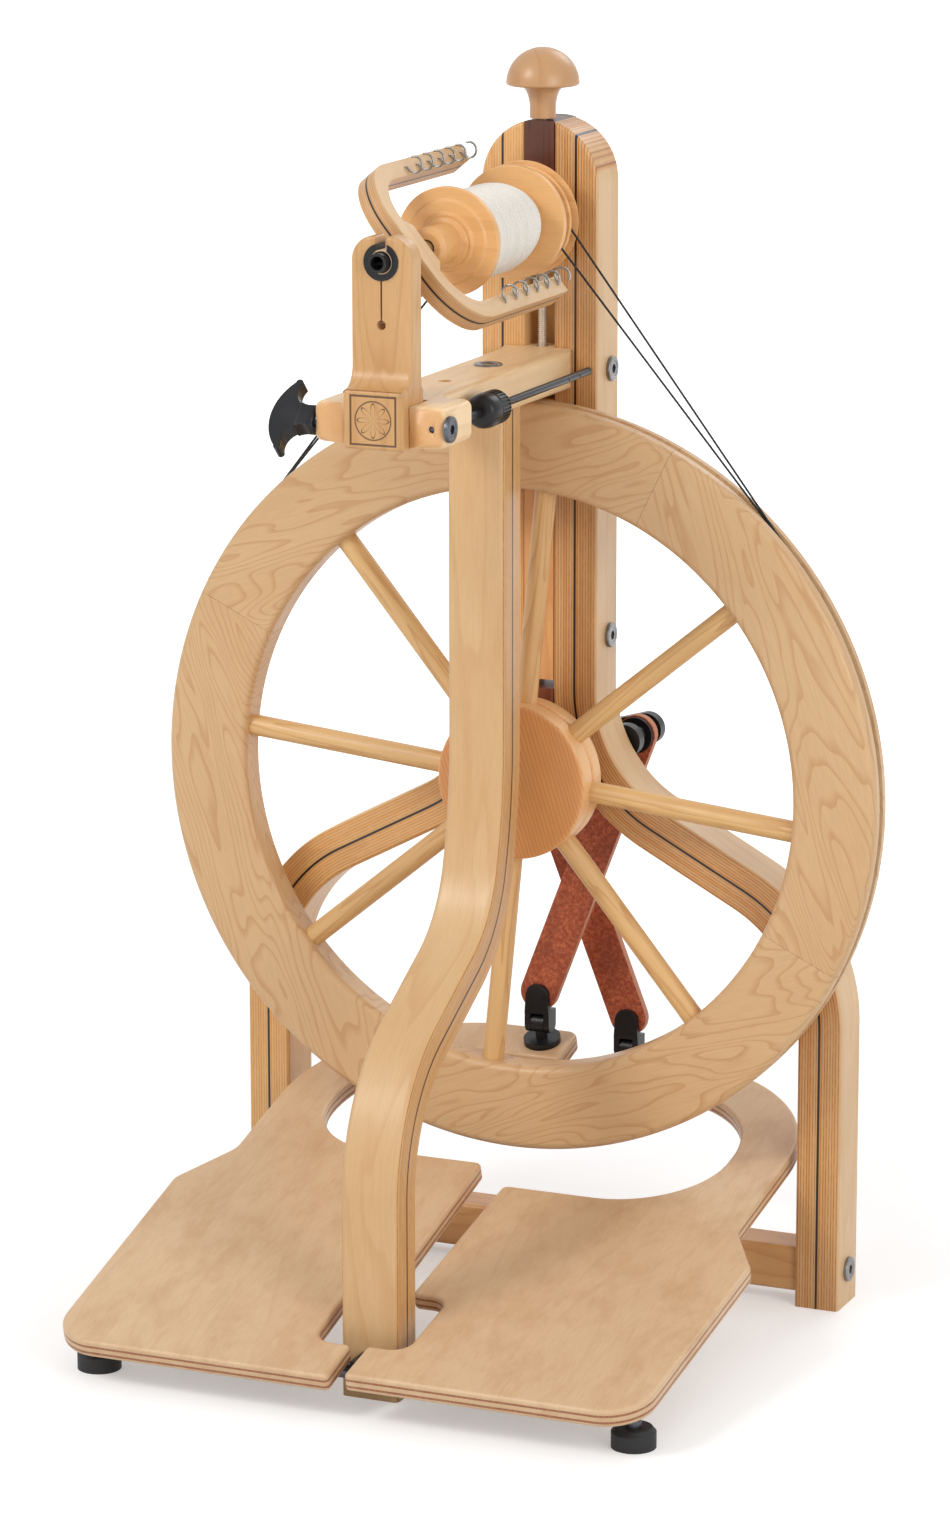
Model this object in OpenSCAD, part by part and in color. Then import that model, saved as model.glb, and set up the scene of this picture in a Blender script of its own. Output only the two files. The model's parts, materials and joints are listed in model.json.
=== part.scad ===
// Double treadle spinning wheel, upright pattern, in millimetres.
// Z is up, the spinner sits on the -Y side, the origin is on the floor under the middle.

/* [Drive wheel] */
// outside diameter of the drive wheel
wheel_d = 495; // [400:1:540]
// radial width of the rim
rim_w = 56; // [35:0.5:70]
// thickness of the rim, front to back
rim_t = 25; // [18:0.5:34]
// depth of the band groove in the rim
rim_groove_depth = 4; // [3:0.1:7]
// width of the band groove in the rim
rim_groove_w = 6.5; // [6:0.1:10]
// glue line between two rim segments
rim_joint = 0.15; // [0.1:0.01:0.3]
// angle of the first rim joint
rim_joint_angle = 64; // [0:1:90]
// height of the axle above the floor
axle_z = 346; // [320:1:370]
// diameter of the axle
axle_d = 12; // [9:0.1:16]
// number of spokes
spoke_count = 8; // [5:1:12]
// diameter of a spoke
spoke_d = 14; // [8:0.1:18]
// angle of the first spoke
spoke_angle = -5.5; // [-20:0.5:20]
// how deep a spoke sits in hub and rim
spoke_seat = 14; // [8:0.5:24]
// diameter of the hub discs
hub_d = 103; // [80:1:125]
// thickness of one hub disc
hub_disc_t = 15; // [11:0.5:20]
// how far the hub stands in front of the rim
hub_front = 3; // [0:0.5:8]

/* [Bent frame bars] */
// thickness of a bent lamination
lam_t = 30; // [24:0.5:36]
// width of the front post
post_w = 38.5; // [30:0.5:46]
// distance from the wheel front to the middle of the post above its bend
post_gap = 44.6; // [40:0.5:60]
// how far the foot of the post stands forward
post_reach = 167.5; // [150:0.5:185]
// height where the post starts to bend
post_bend_z = 383; // [360:1:420]
// gentle first bend radius of the post
post_ease_r = 300; // [240:1:380]
// turn of the gentle bend
post_ease_angle = 16; // [8:0.5:22]
// tighter second bend radius of the post
post_bend_r = 90; // [70:1:110]
// bend radius of the rear legs and of the post's lower bend
bend_r = 100; // [80:1:112]
// steepest slope of the bent bars, from upright
bend_angle = 62; // [54:0.5:70]
// height where the rear legs start to bend
leg_bend_z = 400; // [392:1:430]
// depth of a rear leg, front to back
leg_d = 37.5; // [34:0.5:46]
// distance from the wheel front to the front of the rear legs
leg_gap = 44; // [40:0.5:60]
// width over the two feet of the rear legs
leg_span = 424; // [404:1:450]
// width of the slot between the rear legs
slot_w = 20.5; // [18:0.5:26]
// height of the arched top
upright_h = 768.5; // [760:0.5:800]
// length of the dark spline that closes the top of the slot
spline_len = 40; // [30:0.5:44]
// thickness of the strip that closes the back of the slot
strip_t = 9; // [6:0.5:11]
// length of the filler in the slot below the beam
filler_len = 184; // [120:1:190]
// gap between the filler and the axle block
filler_gap = 5; // [2:0.5:10]
// height of the axle block
axle_block_h = 82; // [72:1:95]
// width of the axle block at the axle
axle_block_w = 34; // [28:0.5:40]
// height and depth of the rear stretcher
stretcher_s = 30; // [24:0.5:34]
// height of the stretcher above the floor
stretcher_z = 9; // [5:0.5:15]
// play of glued and seated pieces
seat_play = 0.05; // [0.02:0.01:0.1]

/* [Frame hardware] */
// diameter of the frame bolts
bolt_d = 7; // [5:0.1:9]
// diameter of a bolt washer
washer_d = 18; // [14:0.5:22]
// thickness of a bolt washer
washer_t = 1.6; // [1:0.1:2.5]
// diameter of a bolt head
head_d = 11.5; // [9:0.1:13]
// height of a bolt head
head_h = 2.6; // [1.5:0.1:3.5]
// height of the upper frame bolt
bolt_hi_z = 608; // [604:0.5:612]
// height of the lower frame bolt
bolt_lo_z = 433; // [425:1:470]
// outside diameter of an axle bearing
bearing_d = 24; // [20:0.5:27]
// length of an axle bearing
bearing_len = 14; // [10:0.5:18]
// running play of a shaft in its bearing
run_play = 0.06; // [0.02:0.01:0.1]

/* [Treadle hinge] */
// distance from the wheel front to the hinge line
hinge_reach = 240; // [234:0.5:250]
// height of the hinge rod
hinge_z = 22; // [18:0.5:26]
// diameter of the hinge rod
hinge_rod_d = 10; // [7:0.1:11]
// distance between the rubber feet
foot_span = 364; // [300:1:376]
// diameter of a rubber foot
foot_d = 28; // [20:0.5:34]
// height of a rubber foot
foot_h = 13; // [9:0.5:14]
// bend radius at the ends of the hinge rod
rod_bend_r = 8; // [6:0.5:9]
// width of the bracket that holds the rod on the post
bracket_w = 8; // [5:0.5:9]
// height of the bracket
bracket_h = 18; // [14:0.5:22]

/* [Treadles] */
// thickness of a treadle board
treadle_t = 12; // [9:0.5:15]
// height of the board's underside over the hinge line
treadle_lift = 7; // [6:0.5:9]
// half width over both treadles
treadle_half_w = 201; // [190:1:206]
// gap between the two treadles
treadle_gap = 11; // [8.5:0.5:16]
// how far a treadle reaches in front of its hinge
treadle_front = 35; // [30:0.5:45]
// distance from the hinge to the rear edge of the foot plate
plate_len = 219; // [200:1:226]
// half width of the opening for the wheel
opening_half_w = 137; // [128:1:142]
// half width over the necks
neck_half_w = 175; // [168:1:178]
// distance from the hinge to the front of the left arm
left_arm_y = 353; // [346:1:358]
// distance from the hinge to the front of the right arm
right_arm_y = 379; // [372:1:384]
// width of an arm
arm_w = 37; // [30:0.5:42]
// slope of the left treadle as drawn
left_slope = 15.3; // [13:0.1:17]
// slope of the right treadle as drawn
right_slope = 11.1; // [9:0.1:13]
// length of a hinge block along the rod
hinge_block_len = 26; // [16:1:40]
// distance of the inner hinge block from the middle line
hinge_block_in = 48; // [44:1:70]
// distance of the outer hinge block from the foot
hinge_block_out = 40; // [30:1:60]
// distance from the hinge to the front of the notch round the post
notch_y0 = 2; // [0:0.5:4]
// distance from the hinge to the back of the notch
notch_y1 = 70; // [60:1:80]
// half width of the notch
notch_half_w = 31; // [26:0.5:36]
// corner radius of the notch
notch_r = 12; // [4:0.5:14]
// distance from the hinge to the shoulder of the foot plate
shoulder_y = 157; // [140:1:165]
// distance from the hinge to the start of the neck
neck_y = 200; // [190:1:206]
// radius of the outer front corner of a treadle
plate_r = 30; // [12:1:40]
// largest corner radius behind the foot plate
throat_r = 68; // [40:1:70]
// distance of the centre of an arm's bend from the middle line
arm_centre_x = 54; // [50:1:66]

/* [Crank and pitmans] */
// throw of the crank
crank_r = 46; // [38:0.5:50]
// angle of the crank as drawn
crank_angle = 16; // [8:0.5:22]
// width of a crank arm
crank_arm_w = 22; // [16:0.5:26]
// thickness of a crank arm
crank_arm_t = 8; // [6:0.5:10]
// diameter of a crank pin
crank_pin_d = 8; // [6:0.1:10]
// width of a pitman strap
pitman_w = 26; // [22:0.5:30]
// thickness of a pitman strap
pitman_t = 6.6; // [5:0.1:8]
// play of the pitman bush round its pin
pitman_play = 3.4; // [3:0.1:4]
// wall of the pitman bush
pitman_bush_wall = 2.2; // [1.5:0.1:2.6]
// how far the arms' knuckles stand in from the middle line
knuckle_x = 25.5; // [22:0.5:32]
// height of the knuckle pivot over the treadle board
knuckle_h = 15; // [13:0.5:20]
// diameter of the flange under a knuckle
flange_d = 25; // [18:0.5:30]
// thickness of the flange under a knuckle
flange_t = 4; // [3:0.5:5]
// diameter of the knuckle eye
eye_d = 13; // [11:0.5:15]
// width of the knuckle eye
eye_w = 9; // [6:0.5:11]
// diameter of the knuckle stem
stem_d = 8; // [6:0.5:9]
// diameter of the knuckle pin
knuckle_pin_d = 5; // [4:0.1:6]
// thickness of a fork cheek
cheek_t = 4; // [3:0.5:5]
// height of the strap's end over the knuckle pivot
strap_lift = 22; // [19:0.5:26]

/* [Head beam] */
// width of the beam
beam_w = 46; // [43:0.5:52]
// thickness of the beam
beam_t = 25; // [20:0.5:28]
// height of the underside of the beam
beam_z = 598; // [595:0.5:601]
// width over the two lugs
head_w = 87; // [82:0.5:96]
// length of the lugs
head_len = 45; // [40:0.5:52]
// distance from the wheel front to the front of the lugs
head_reach = 206; // [198:0.5:212]
// gap between the post and the beam
pivot_gap = 0.8; // [0.6:0.05:0.95]
// gap between the beam and the rear legs
beam_gap = 0.7; // [0.6:0.05:0.95]
// length of the beam's tongue in the slot
tongue_len = 17; // [14:0.5:18.5]
// play of the tongue beside the rear legs
tongue_play = 0.3; // [0.2:0.05:0.5]
// distance of the beam bolt behind the middle of the post
beam_bolt_back = 6; // [0:0.5:8]
// diameter of the spare hole in the beam
spare_hole_d = 8.5; // [5:0.1:11]
// rounding of the outer corners of the lugs
lug_r = 6; // [3:0.5:10]
// hollow corner between a lug and the beam
lug_hollow_r = 9; // [5:0.5:10]

/* [Front maiden] */
// width of the maiden
maiden_w = 40; // [34:0.5:42]
// thickness of the maiden plate
maiden_t = 15.5; // [12:0.5:18]
// height of the maiden's top over the flyer's axis
maiden_top = 15.5; // [14:0.5:20]
// rounding of the maiden's top corners
maiden_r = 15; // [8:0.5:18]
// depth of the maiden's base block
base_d = 31; // [28:0.5:33]
// height of the base block
base_h = 36; // [30:0.5:40]
// how far the base block stands below the clamp bolt
base_drop = 13.5; // [12:0.5:15]
// side play of the base between the lugs
base_play = 0.4; // [0.2:0.05:0.6]
// distance of the clamp bolt behind the front of the base
clamp_back = 14.2; // [13:0.1:15.5]
// diameter of the clamp bolt
clamp_d = 8; // [6:0.1:9]
// open gap in the top of the maiden
top_gap = 8; // [6:0.5:10]
// width of the saw cut under the bearing
kerf_w = 1.2; // [0.8:0.1:2]
// diameter of the hole at the end of the saw cut
kerf_hole_d = 5.8; // [4:0.1:8]
// depth of the burned square on the base
mark_depth = 0.4; // [0.2:0.1:0.8]
// outside diameter of the orifice bush
bush_d = 22.5; // [19:0.5:25]
// bore of the orifice bush
bush_bore = 15; // [14.4:0.1:16]

/* [T handle] */
// length of the handle's stem
tee_stem_len = 20; // [14:0.5:28]
// diameter of the handle's stem
tee_stem_d = 14; // [10:0.5:16]
// span of the handle's arms
tee_span = 60; // [40:1:70]
// diameter of the handle's arms
tee_arm_d = 11.5; // [7:0.5:14]
// sweep radius of the handle's arms
tee_sweep_r = 42; // [34:1:56]
// lean of the handle as drawn
tee_lean = -45; // [-90:1:90]
// thickness of the handle behind its stem
tee_mid_t = 12; // [9:0.5:15]
// radius of the hollow between the stem and a horn
tee_hollow_r = 14; // [11:0.5:15]
// distance of the hollow's centre from the lug
tee_hollow_x = 4; // [3:0.5:6]
// radius of the tip of a horn
tee_tip_r = 2.6; // [2:0.1:3]

/* [Brake rod] */
// diameter of the brake rod
brake_rod_d = 5; // [4:0.1:6]
// distance of the brake rod beside the middle line
brake_rod_x = 36; // [34:0.5:38]
// diameter of the brake knob
brake_knob_d = 22; // [16:0.5:23]
// length of the brake knob
brake_knob_len = 27; // [20:0.5:32]
// distance of the brake knob behind the lug
brake_knob_back = 24; // [18:0.5:40]
// grooves cut round the brake knob
knob_grooves = 24; // [16:1:32]

/* [Flyer] */
// height of the flyer above the floor
flyer_z = 708.5; // [702:0.5:712]
// distance of a flyer arm from the axis
flyer_r = 52; // [50:0.5:58]
// thickness of the bent flyer arm
flyer_t = 12; // [9:0.5:13]
// width of the flyer arm
flyer_w = 15; // [14:0.5:24]
// half length of the thick middle of the bow
boss_half = 14; // [10:0.5:14]
// how much thicker the bow is in its middle
boss_rise = 5; // [2:0.5:5]
// length of the flyer from its bow to its tips
flyer_len = 155; // [150:1:166]
// bend radius of the flyer bow
flyer_bend_r = 32; // [26:1:38]
// distance from the wheel front to the front of the bow
bow_reach = 166; // [162:0.5:170]
// turn of the flyer as drawn
flyer_turn = 130; // [0:1:359]
// outside diameter of the orifice tube
orifice_d = 12; // [11:0.1:12.6]
// bore of the orifice tube
orifice_bore = 8.5; // [6:0.1:9]
// distance from the wheel front to the orifice
orifice_reach = 207; // [204:0.5:210]
// diameter of the flyer shaft
shaft_d = 9.5; // [7:0.1:10.5]
// hooks on one arm
hook_count = 6; // [3:1:8]
// wire diameter of a hook
hook_wire_d = 1.5; // [1.2:0.1:2.4]
// bend radius of a hook
hook_r = 5; // [3:0.1:6]
// distance from the bow to the first hook
hook_start = 63; // [52:1:75]
// distance from one hook to the next
hook_pitch = 16.8; // [13:0.1:18]
// distance of a hook's centre from its shank
hook_in = 2.5; // [2:0.1:4]
// depth of a hook's shank in the arm
hook_seat = 5; // [4:0.5:7]
// gap between a hook's tip and the arm
hook_gap_tip = 0.4; // [0.3:0.1:2]
// diameter of the flyer whorl
whorl_d = 74; // [60:1:80]
// thickness of the flyer whorl
whorl_t = 9; // [8:0.5:10]
// diameter at the bottom of the flyer whorl's groove
whorl_groove_d = 44; // [40:0.5:50]

/* [Bobbin and yarn] */
// diameter of the front flange of the bobbin
bobbin_front_d = 68; // [64:0.5:74]
// thickness of the front flange
bobbin_front_t = 8; // [6:0.5:10]
// diameter of the rear flange
bobbin_rear_d = 72; // [64:0.5:76]
// thickness of the rear flange
bobbin_rear_t = 6; // [4:0.5:7]
// length between the flanges
bobbin_len = 96; // [90:0.5:97]
// diameter of the bobbin's core
bobbin_core_d = 24; // [18:0.5:30]
// diameter at the bottom of the bobbin's groove
bobbin_groove_d = 24; // [22:0.5:26]
// width of the bobbin's groove
bobbin_groove_w = 5; // [4:0.5:6]
// thickness of the bobbin's small end disc
bobbin_lip_t = 3; // [2:0.5:4]
// diameter of the full winding
yarn_d = 57; // [50:0.5:62]
// length over which the yarn falls off at the rear flange
yarn_taper_len = 36; // [20:1:60]
// how much the yarn's radius falls off there
yarn_taper = 8; // [0:0.5:9]
// thickness of the outer strand
yarn_strand_d = 3.1; // [2:0.1:3.2]
// turns of the outer layer
yarn_turns = 24; // [12:1:24]

/* [Tension screw] */
// diameter of the tension rod
tension_rod_d = 6; // [4:0.1:6.5]
// distance of the tension rod behind the front of the rear legs
tension_rod_back = 6; // [5:0.5:9]
// diameter of the knob
knob_d = 47; // [44:0.5:62]
// height of the knob
knob_h = 45; // [38:0.5:54]
// diameter of the knob's neck
knob_neck_d = 15.5; // [13:0.5:22]
// height of the straight neck of the knob
knob_neck_h = 6; // [3:0.5:9]
// radius where the hollow meets the underside of the cap
knob_under_r = 12.7; // [11:0.1:17]
// play between the tension rod and its nut
nut_play = 0.5; // [0.45:0.05:0.7]
// diameter of the barrel nut
nut_d = 12; // [10:0.5:13]
// width of the rear bearing block
carriage_w = 28; // [24:0.5:36]
// height of the rear bearing block
carriage_h = 32; // [26:0.5:36]
// how far the rear bearing block stands behind the whorl
carriage_gap = 2.5; // [1.5:0.5:5]
// room in front of the rear legs for the tilt of the block
carriage_room = 3.2; // [2.8:0.1:5]
// room round the tension rod for the tilt of the block
carriage_slot = 3.4; // [3:0.1:4]
// room round the tension rod for the tilt of the beam
beam_rod_play = 1; // [0.8:0.1:1.6]

/* [Drive band] */
// diameter of the cord
band_d = 1.5; // [1.2:0.1:1.7]
// play of the cord over its grooves
band_play = 0.5; // [0.45:0.05:0.8]
// distance between the two turns in the rim groove
band_pitch = 2.2; // [2:0.1:2.6]

/* [Hidden] */
$fn = 64;
wheel_r = wheel_d / 2;
rim_in_r = wheel_r - rim_w;
rim_mid = rim_t / 2;
spoke_y = rim_mid;
hub_y0 = -hub_front;
hub_joint = spoke_y + 1;
hub_y1 = hub_joint + hub_disc_t;
lam_h = lam_t / 2;
leg_in = slot_w / 2;
leg_mid = leg_in + lam_h;
leg_foot_mid = leg_span / 2 - lam_h;
leg_y1 = leg_gap + leg_d;
arch_r = leg_in + lam_t;
arch_z = upright_h - arch_r;
spline_z0 = upright_h - spline_len;
strip_y0 = leg_y1 - strip_t;
post_top = beam_z - pivot_gap;
post_mid = -post_gap;
post_back = post_mid + lam_h;
post_front = post_mid - post_reach - lam_h;
filler_z1 = leg_bend_z + filler_gap + filler_len;
filler_z0 = leg_bend_z + filler_gap;
axle_block_z1 = leg_bend_z - 1;
axle_block_z0 = axle_block_z1 - axle_block_h;
bolt_y = strip_y0 - bolt_d / 2 - 1.5;
hinge_y = -hinge_reach;
plate_z = treadle_lift + treadle_t;
left_knuckle_y = left_arm_y + arm_w / 2;
right_knuckle_y = right_arm_y + arm_w / 2;
knuckle_z = plate_z + knuckle_h;
// height and depth of a point on a sloping treadle
function tilt_y(y, z, a) = hinge_y + y * cos(a) - z * sin(a);
function tilt_z(y, z, a) = hinge_z + y * sin(a) + z * cos(a);
front_plane = tilt_y(left_knuckle_y, knuckle_z, left_slope);
rear_plane = tilt_y(right_knuckle_y, knuckle_z, right_slope);
front_low_z = tilt_z(left_knuckle_y, knuckle_z, left_slope);
rear_low_z = tilt_z(right_knuckle_y, knuckle_z, right_slope);
pin_x = crank_r * cos(crank_angle);
pin_z = crank_r * sin(crank_angle);
crank_y0 = leg_y1 + 3;
web_mid = (front_plane + rear_plane) / 2;
reach_front = tilt_y(-treadle_front, plate_z, max(left_slope, right_slope));
reach_rear = max(tilt_y(right_arm_y + arm_w, treadle_lift, right_slope),
    tilt_y(left_arm_y + arm_w, treadle_lift, left_slope));
y0 = -(reach_front + reach_rear) / 2;
beam_top = beam_z + beam_t;
beam_y1 = leg_gap - beam_gap;
tongue_y1 = beam_y1 + tongue_len;
head_y0 = -head_reach;
head_y1 = head_y0 + head_len;
base_y0 = head_y0 - 8;
clamp_y = base_y0 + clamp_back;
clamp_z = beam_z + beam_t / 2 - 0.5;
base_z0 = clamp_z - base_drop;
base_sweep = sqrt(pow(base_d - clamp_back, 2) + pow(base_drop, 2));
maiden_y0 = base_y0 + 13;
beam_bolt_y = post_mid + beam_bolt_back;
tension_y = leg_gap + tension_rod_back;
whorl_y1 = leg_gap - 22;
whorl_y0 = whorl_y1 - whorl_t;
whorl_groove_y = whorl_y0 + whorl_t / 2;
bobbin_y3 = whorl_y0 - 0.6;
bobbin_y2 = bobbin_y3 - bobbin_lip_t - bobbin_groove_w - bobbin_rear_t;
bobbin_groove_y = bobbin_y3 - bobbin_lip_t - bobbin_groove_w / 2;
bobbin_y1 = bobbin_y2 - bobbin_len;
bobbin_y0 = bobbin_y1 - bobbin_front_t;
bow_y = -bow_reach;
carriage_y0 = whorl_y1 + carriage_gap;
carriage_y1 = leg_gap - carriage_room;
carriage_y2 = leg_gap + tongue_len - beam_gap;
tee_x = -head_w / 2;
yarn_path_r = (yarn_d - yarn_strand_d) / 2;
yarn_core_d = yarn_d - 2 * yarn_strand_d - 0.7;
yarn_pitch = (bobbin_len - yarn_strand_d - 2.4) / yarn_turns;

maple = [0.87, 0.72, 0.52];
maple_dark = [0.80, 0.62, 0.42];
walnut = [0.30, 0.18, 0.14];
fibre = [0.56, 0.30, 0.22];
black = [0.06, 0.06, 0.06];
steel = [0.66, 0.66, 0.68];
wool = [0.93, 0.91, 0.87];

module place() {
    translate([0, y0, 0]) children();
}

// cylinder along Y from y to y + l
module cyl_y(y, l, d) {
    translate([0, y, 0]) rotate([-90, 0, 0]) cylinder(d = d, h = l);
}

// cylinder along X from x to x + l
module cyl_x(x, l, d) {
    translate([x, 0, 0]) rotate([0, 90, 0]) cylinder(d = d, h = l);
}

// a bent bar from rows of [across, up, lean]: its outline on both sides of the middle line
function bend_rows(p, q, r, a0, a1, n) = [for (i = [0 : n]) let (a = a0 + (a1 - a0) * i / n)
    [p + r * (cos(a0) - cos(a)), q - r * (sin(a) - sin(a0)), a]];
function bend_back(p, q, r, a0, n) = [for (i = [0 : n]) let (a = a0 * (1 - i / n))
    [p + r * (cos(a) - cos(a0)), q - r * (sin(a0) - sin(a)), a]];
function side(rows, s) = [for (t = rows) [t[0] + s * lam_h * cos(t[2]), t[1] + s * lam_h * sin(t[2])]];
function turned_round(v) = [for (i = [len(v) - 1 : -1 : 0]) v[i]];
module bar(rows, w) {
    linear_extrude(w) polygon(concat(side(rows, -1), turned_round(side(rows, 1))));
}

// points of a rounded outline: each corner is [x, y, radius]
function unit(v) = v / norm(v);
function corner(a, b, c, n) =
    let (u = unit([a[0] - b[0], a[1] - b[1]]), v = unit([c[0] - b[0], c[1] - b[1]]))
    let (h = acos(u * v) / 2, d = b[2] / tan(h), m = unit(u + v) * (b[2] / sin(h)))
    let (o = [b[0], b[1]] + m, s = [b[0], b[1]] + u * d - o, e = [b[0], b[1]] + v * d - o)
    let (a0 = atan2(s[1], s[0]), t = atan2(s[0] * e[1] - s[1] * e[0], s * e))
    [for (i = [0 : n]) o + b[2] * [cos(a0 + t * i / n), sin(a0 + t * i / n)]];
function outline(p) = [for (i = [0 : len(p) - 1])
    each corner(p[(i + len(p) - 1) % len(p)], p[i], p[(i + 1) % len(p)], p[i][2] > 25 ? 20 : 8)];

// a tube round a closed or open row of points, six sided
function path_dir(p, i, loop) =
    let (n = len(p), a = loop ? p[(i + n - 1) % n] : p[max(i - 1, 0)])
    let (b = loop ? p[(i + 1) % n] : p[min(i + 1, n - 1)])
    unit(b - a);
module tube(p, r, loop, up) {
    n = len(p);
    pts = [for (i = [0 : n - 1])
        let (t = path_dir(p, i, loop), s = unit(cross(t, up)), w = cross(s, t))
        each [for (k = [0 : 5]) p[i] + r * (cos(60 * k) * s + sin(60 * k) * w)]];
    last = loop ? n - 1 : n - 2;
    sides = [for (i = [0 : last]) each [for (k = [0 : 5])
        let (j = (i + 1) % n, m = (k + 1) % 6)
        each [[6 * i + k, 6 * j + m, 6 * j + k], [6 * i + k, 6 * i + m, 6 * j + m]]]];
    ends = loop ? [] : [[for (k = [0 : 5]) k], [for (k = [5 : -1 : 0]) 6 * (n - 1) + k]];
    polyhedron(pts, concat(sides, [for (f = ends) [for (k = [0 : 5]) f[5 - k]]]), convexity = 10);
}

// frame
module post_bar() {
    ea = post_ease_angle;
    ba = bend_angle;
    p1 = post_ease_r * (1 - cos(ea));
    q1 = post_bend_z - post_ease_r * sin(ea);
    p2 = p1 + post_bend_r * (cos(ea) - cos(ba));
    q2 = q1 - post_bend_r * (sin(ba) - sin(ea));
    p3 = post_reach - bend_r * (1 - cos(ba));
    q3 = q2 - (p3 - p2) / tan(ba);
    bar(concat([[0, post_top, 0]], bend_rows(0, post_bend_z, post_ease_r, 0, ea, 6),
        bend_rows(p1, q1, post_bend_r, ea, ba, 16), bend_back(p3, q3, bend_r, ba, 20),
        [[post_reach, 0, 0]]), post_w);
}

module front_post() color(maple) place() difference() {
    translate([post_w / 2, post_mid, 0]) rotate([90, 0, -90]) post_bar();
    translate([0, 0, axle_z]) cyl_y(post_back - bearing_len, bearing_len + 1, bearing_d + 2 * seat_play);
    translate([0, beam_bolt_y, post_top - 32]) cylinder(d = bolt_d + 2.4, h = 40);
}

module leg_bar(s) {
    ba = bend_angle;
    p1 = leg_mid + bend_r * (1 - cos(ba));
    q1 = leg_bend_z - bend_r * sin(ba);
    p2 = leg_foot_mid - bend_r * (1 - cos(ba));
    q2 = q1 - (p2 - p1) / tan(ba);
    rows = concat([[leg_mid, upright_h, 0]], bend_rows(leg_mid, leg_bend_z, bend_r, 0, ba, 20),
        bend_back(p2, q2, bend_r, ba, 20), [[leg_foot_mid, 0, 0]]);
    intersection() {
        bar([for (t = rows) [s * t[0], t[1], s * t[2]]], leg_d);
        union() {
            translate([0, arch_z, -1]) cylinder(r = arch_r, h = leg_d + 2, $fn = 128);
            translate([-leg_span, -1, -1]) cube([2 * leg_span, arch_z + 1, leg_d + 2]);
        }
    }
}

module rear_leg(s) place() difference() {
    translate([0, leg_y1, 0]) rotate([90, 0, 0]) leg_bar(s);
    for (z = [bolt_hi_z, bolt_lo_z])
        translate([0, bolt_y, z]) cyl_x(-arch_r - 1, 2 * arch_r + 2, bolt_d + 2 * seat_play);
    translate([0, leg_gap + leg_d / 2, stretcher_z + stretcher_s / 2])
        cyl_x(-leg_span / 2 - 1, leg_span + 2, bolt_d + 2 * seat_play);
}

module left_rear_leg() color(maple) rear_leg(-1);

module right_rear_leg() color(maple) rear_leg(1);

module slot_fill(z, h, y, d) {
    translate([-leg_in + seat_play, y, z]) cube([slot_w - 2 * seat_play, d, h]);
}

module walnut_spline() color(walnut) place() difference() {
    intersection() {
        slot_fill(spline_z0, spline_len, leg_gap, leg_d);
        translate([0, 0, arch_z]) cyl_y(leg_gap - 1, leg_d + 2, 2 * arch_r, $fn = 128);
    }
    translate([0, tension_y, spline_z0 - 1]) cylinder(d = tension_rod_d + 1, h = spline_len + 2);
}

module slot_strip() color(maple_dark) place()
    slot_fill(filler_z0, spline_z0 - filler_z0 - seat_play, strip_y0, strip_t);

module centre_filler() color(maple) place() difference() {
    slot_fill(filler_z0, filler_len, leg_gap, strip_y0 - leg_gap - seat_play);
    translate([0, bolt_y, bolt_lo_z]) cyl_x(-leg_in - 1, slot_w + 2, bolt_d + 2 * seat_play);
}

module axle_block() color(maple_dark) place() difference() {
    translate([0, leg_y1, 0]) rotate([90, 0, 0]) linear_extrude(leg_d) polygon([
        [-leg_in + seat_play, axle_block_z1], [leg_in - seat_play, axle_block_z1],
        [leg_in - seat_play, axle_block_z1 - 14], [axle_block_w / 2, axle_z + 2],
        [axle_block_w / 2, axle_block_z0], [-axle_block_w / 2, axle_block_z0],
        [-axle_block_w / 2, axle_z + 2], [-leg_in + seat_play, axle_block_z1 - 14]]);
    translate([0, 0, axle_z]) {
        cyl_y(leg_gap - 1, leg_d + 2, axle_d + 4);
        cyl_y(leg_gap - 1, bearing_len + 1, bearing_d + 2 * seat_play);
    }
}

module rear_stretcher() color(maple) place() difference() {
    translate([-leg_span / 2 + lam_t + seat_play, leg_gap + (leg_d - stretcher_s) / 2, stretcher_z])
        cube([leg_span - 2 * lam_t - 2 * seat_play, stretcher_s, stretcher_s]);
    for (s = [-1, 1])
        translate([s * (leg_span / 2 - lam_t - 20), leg_gap + leg_d / 2, stretcher_z + stretcher_s / 2])
            cyl_x(-21, 42, bolt_d + 2 * seat_play);
}

module axle_bearings() color(black) place() for (y = [post_back - bearing_len, leg_gap])
    translate([0, 0, axle_z]) difference() {
        cyl_y(y, bearing_len, bearing_d);
        cyl_y(y - 1, bearing_len + 2, axle_d + 2 * run_play);
    }

module bolt_head(s) {
    cyl_x(s > 0 ? 0 : -washer_t, washer_t, washer_d);
    cyl_x(s > 0 ? washer_t - 0.01 : -washer_t - head_h + 0.01, head_h, head_d);
}

module frame_bolts() color(black) place() {
    for (z = [bolt_hi_z, bolt_lo_z]) translate([0, bolt_y, z]) {
        cyl_x(-arch_r - 0.01, 2 * arch_r + 0.02, bolt_d);
        translate([arch_r, 0, 0]) bolt_head(1);
        translate([-arch_r, 0, 0]) bolt_head(-1);
    }
    for (s = [-1, 1])
        translate([s * leg_span / 2, leg_gap + leg_d / 2, stretcher_z + stretcher_s / 2]) {
            bolt_head(s);
            cyl_x(s > 0 ? -lam_t - 38 : -0.01, lam_t + 38.01, bolt_d);
        }
}

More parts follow.
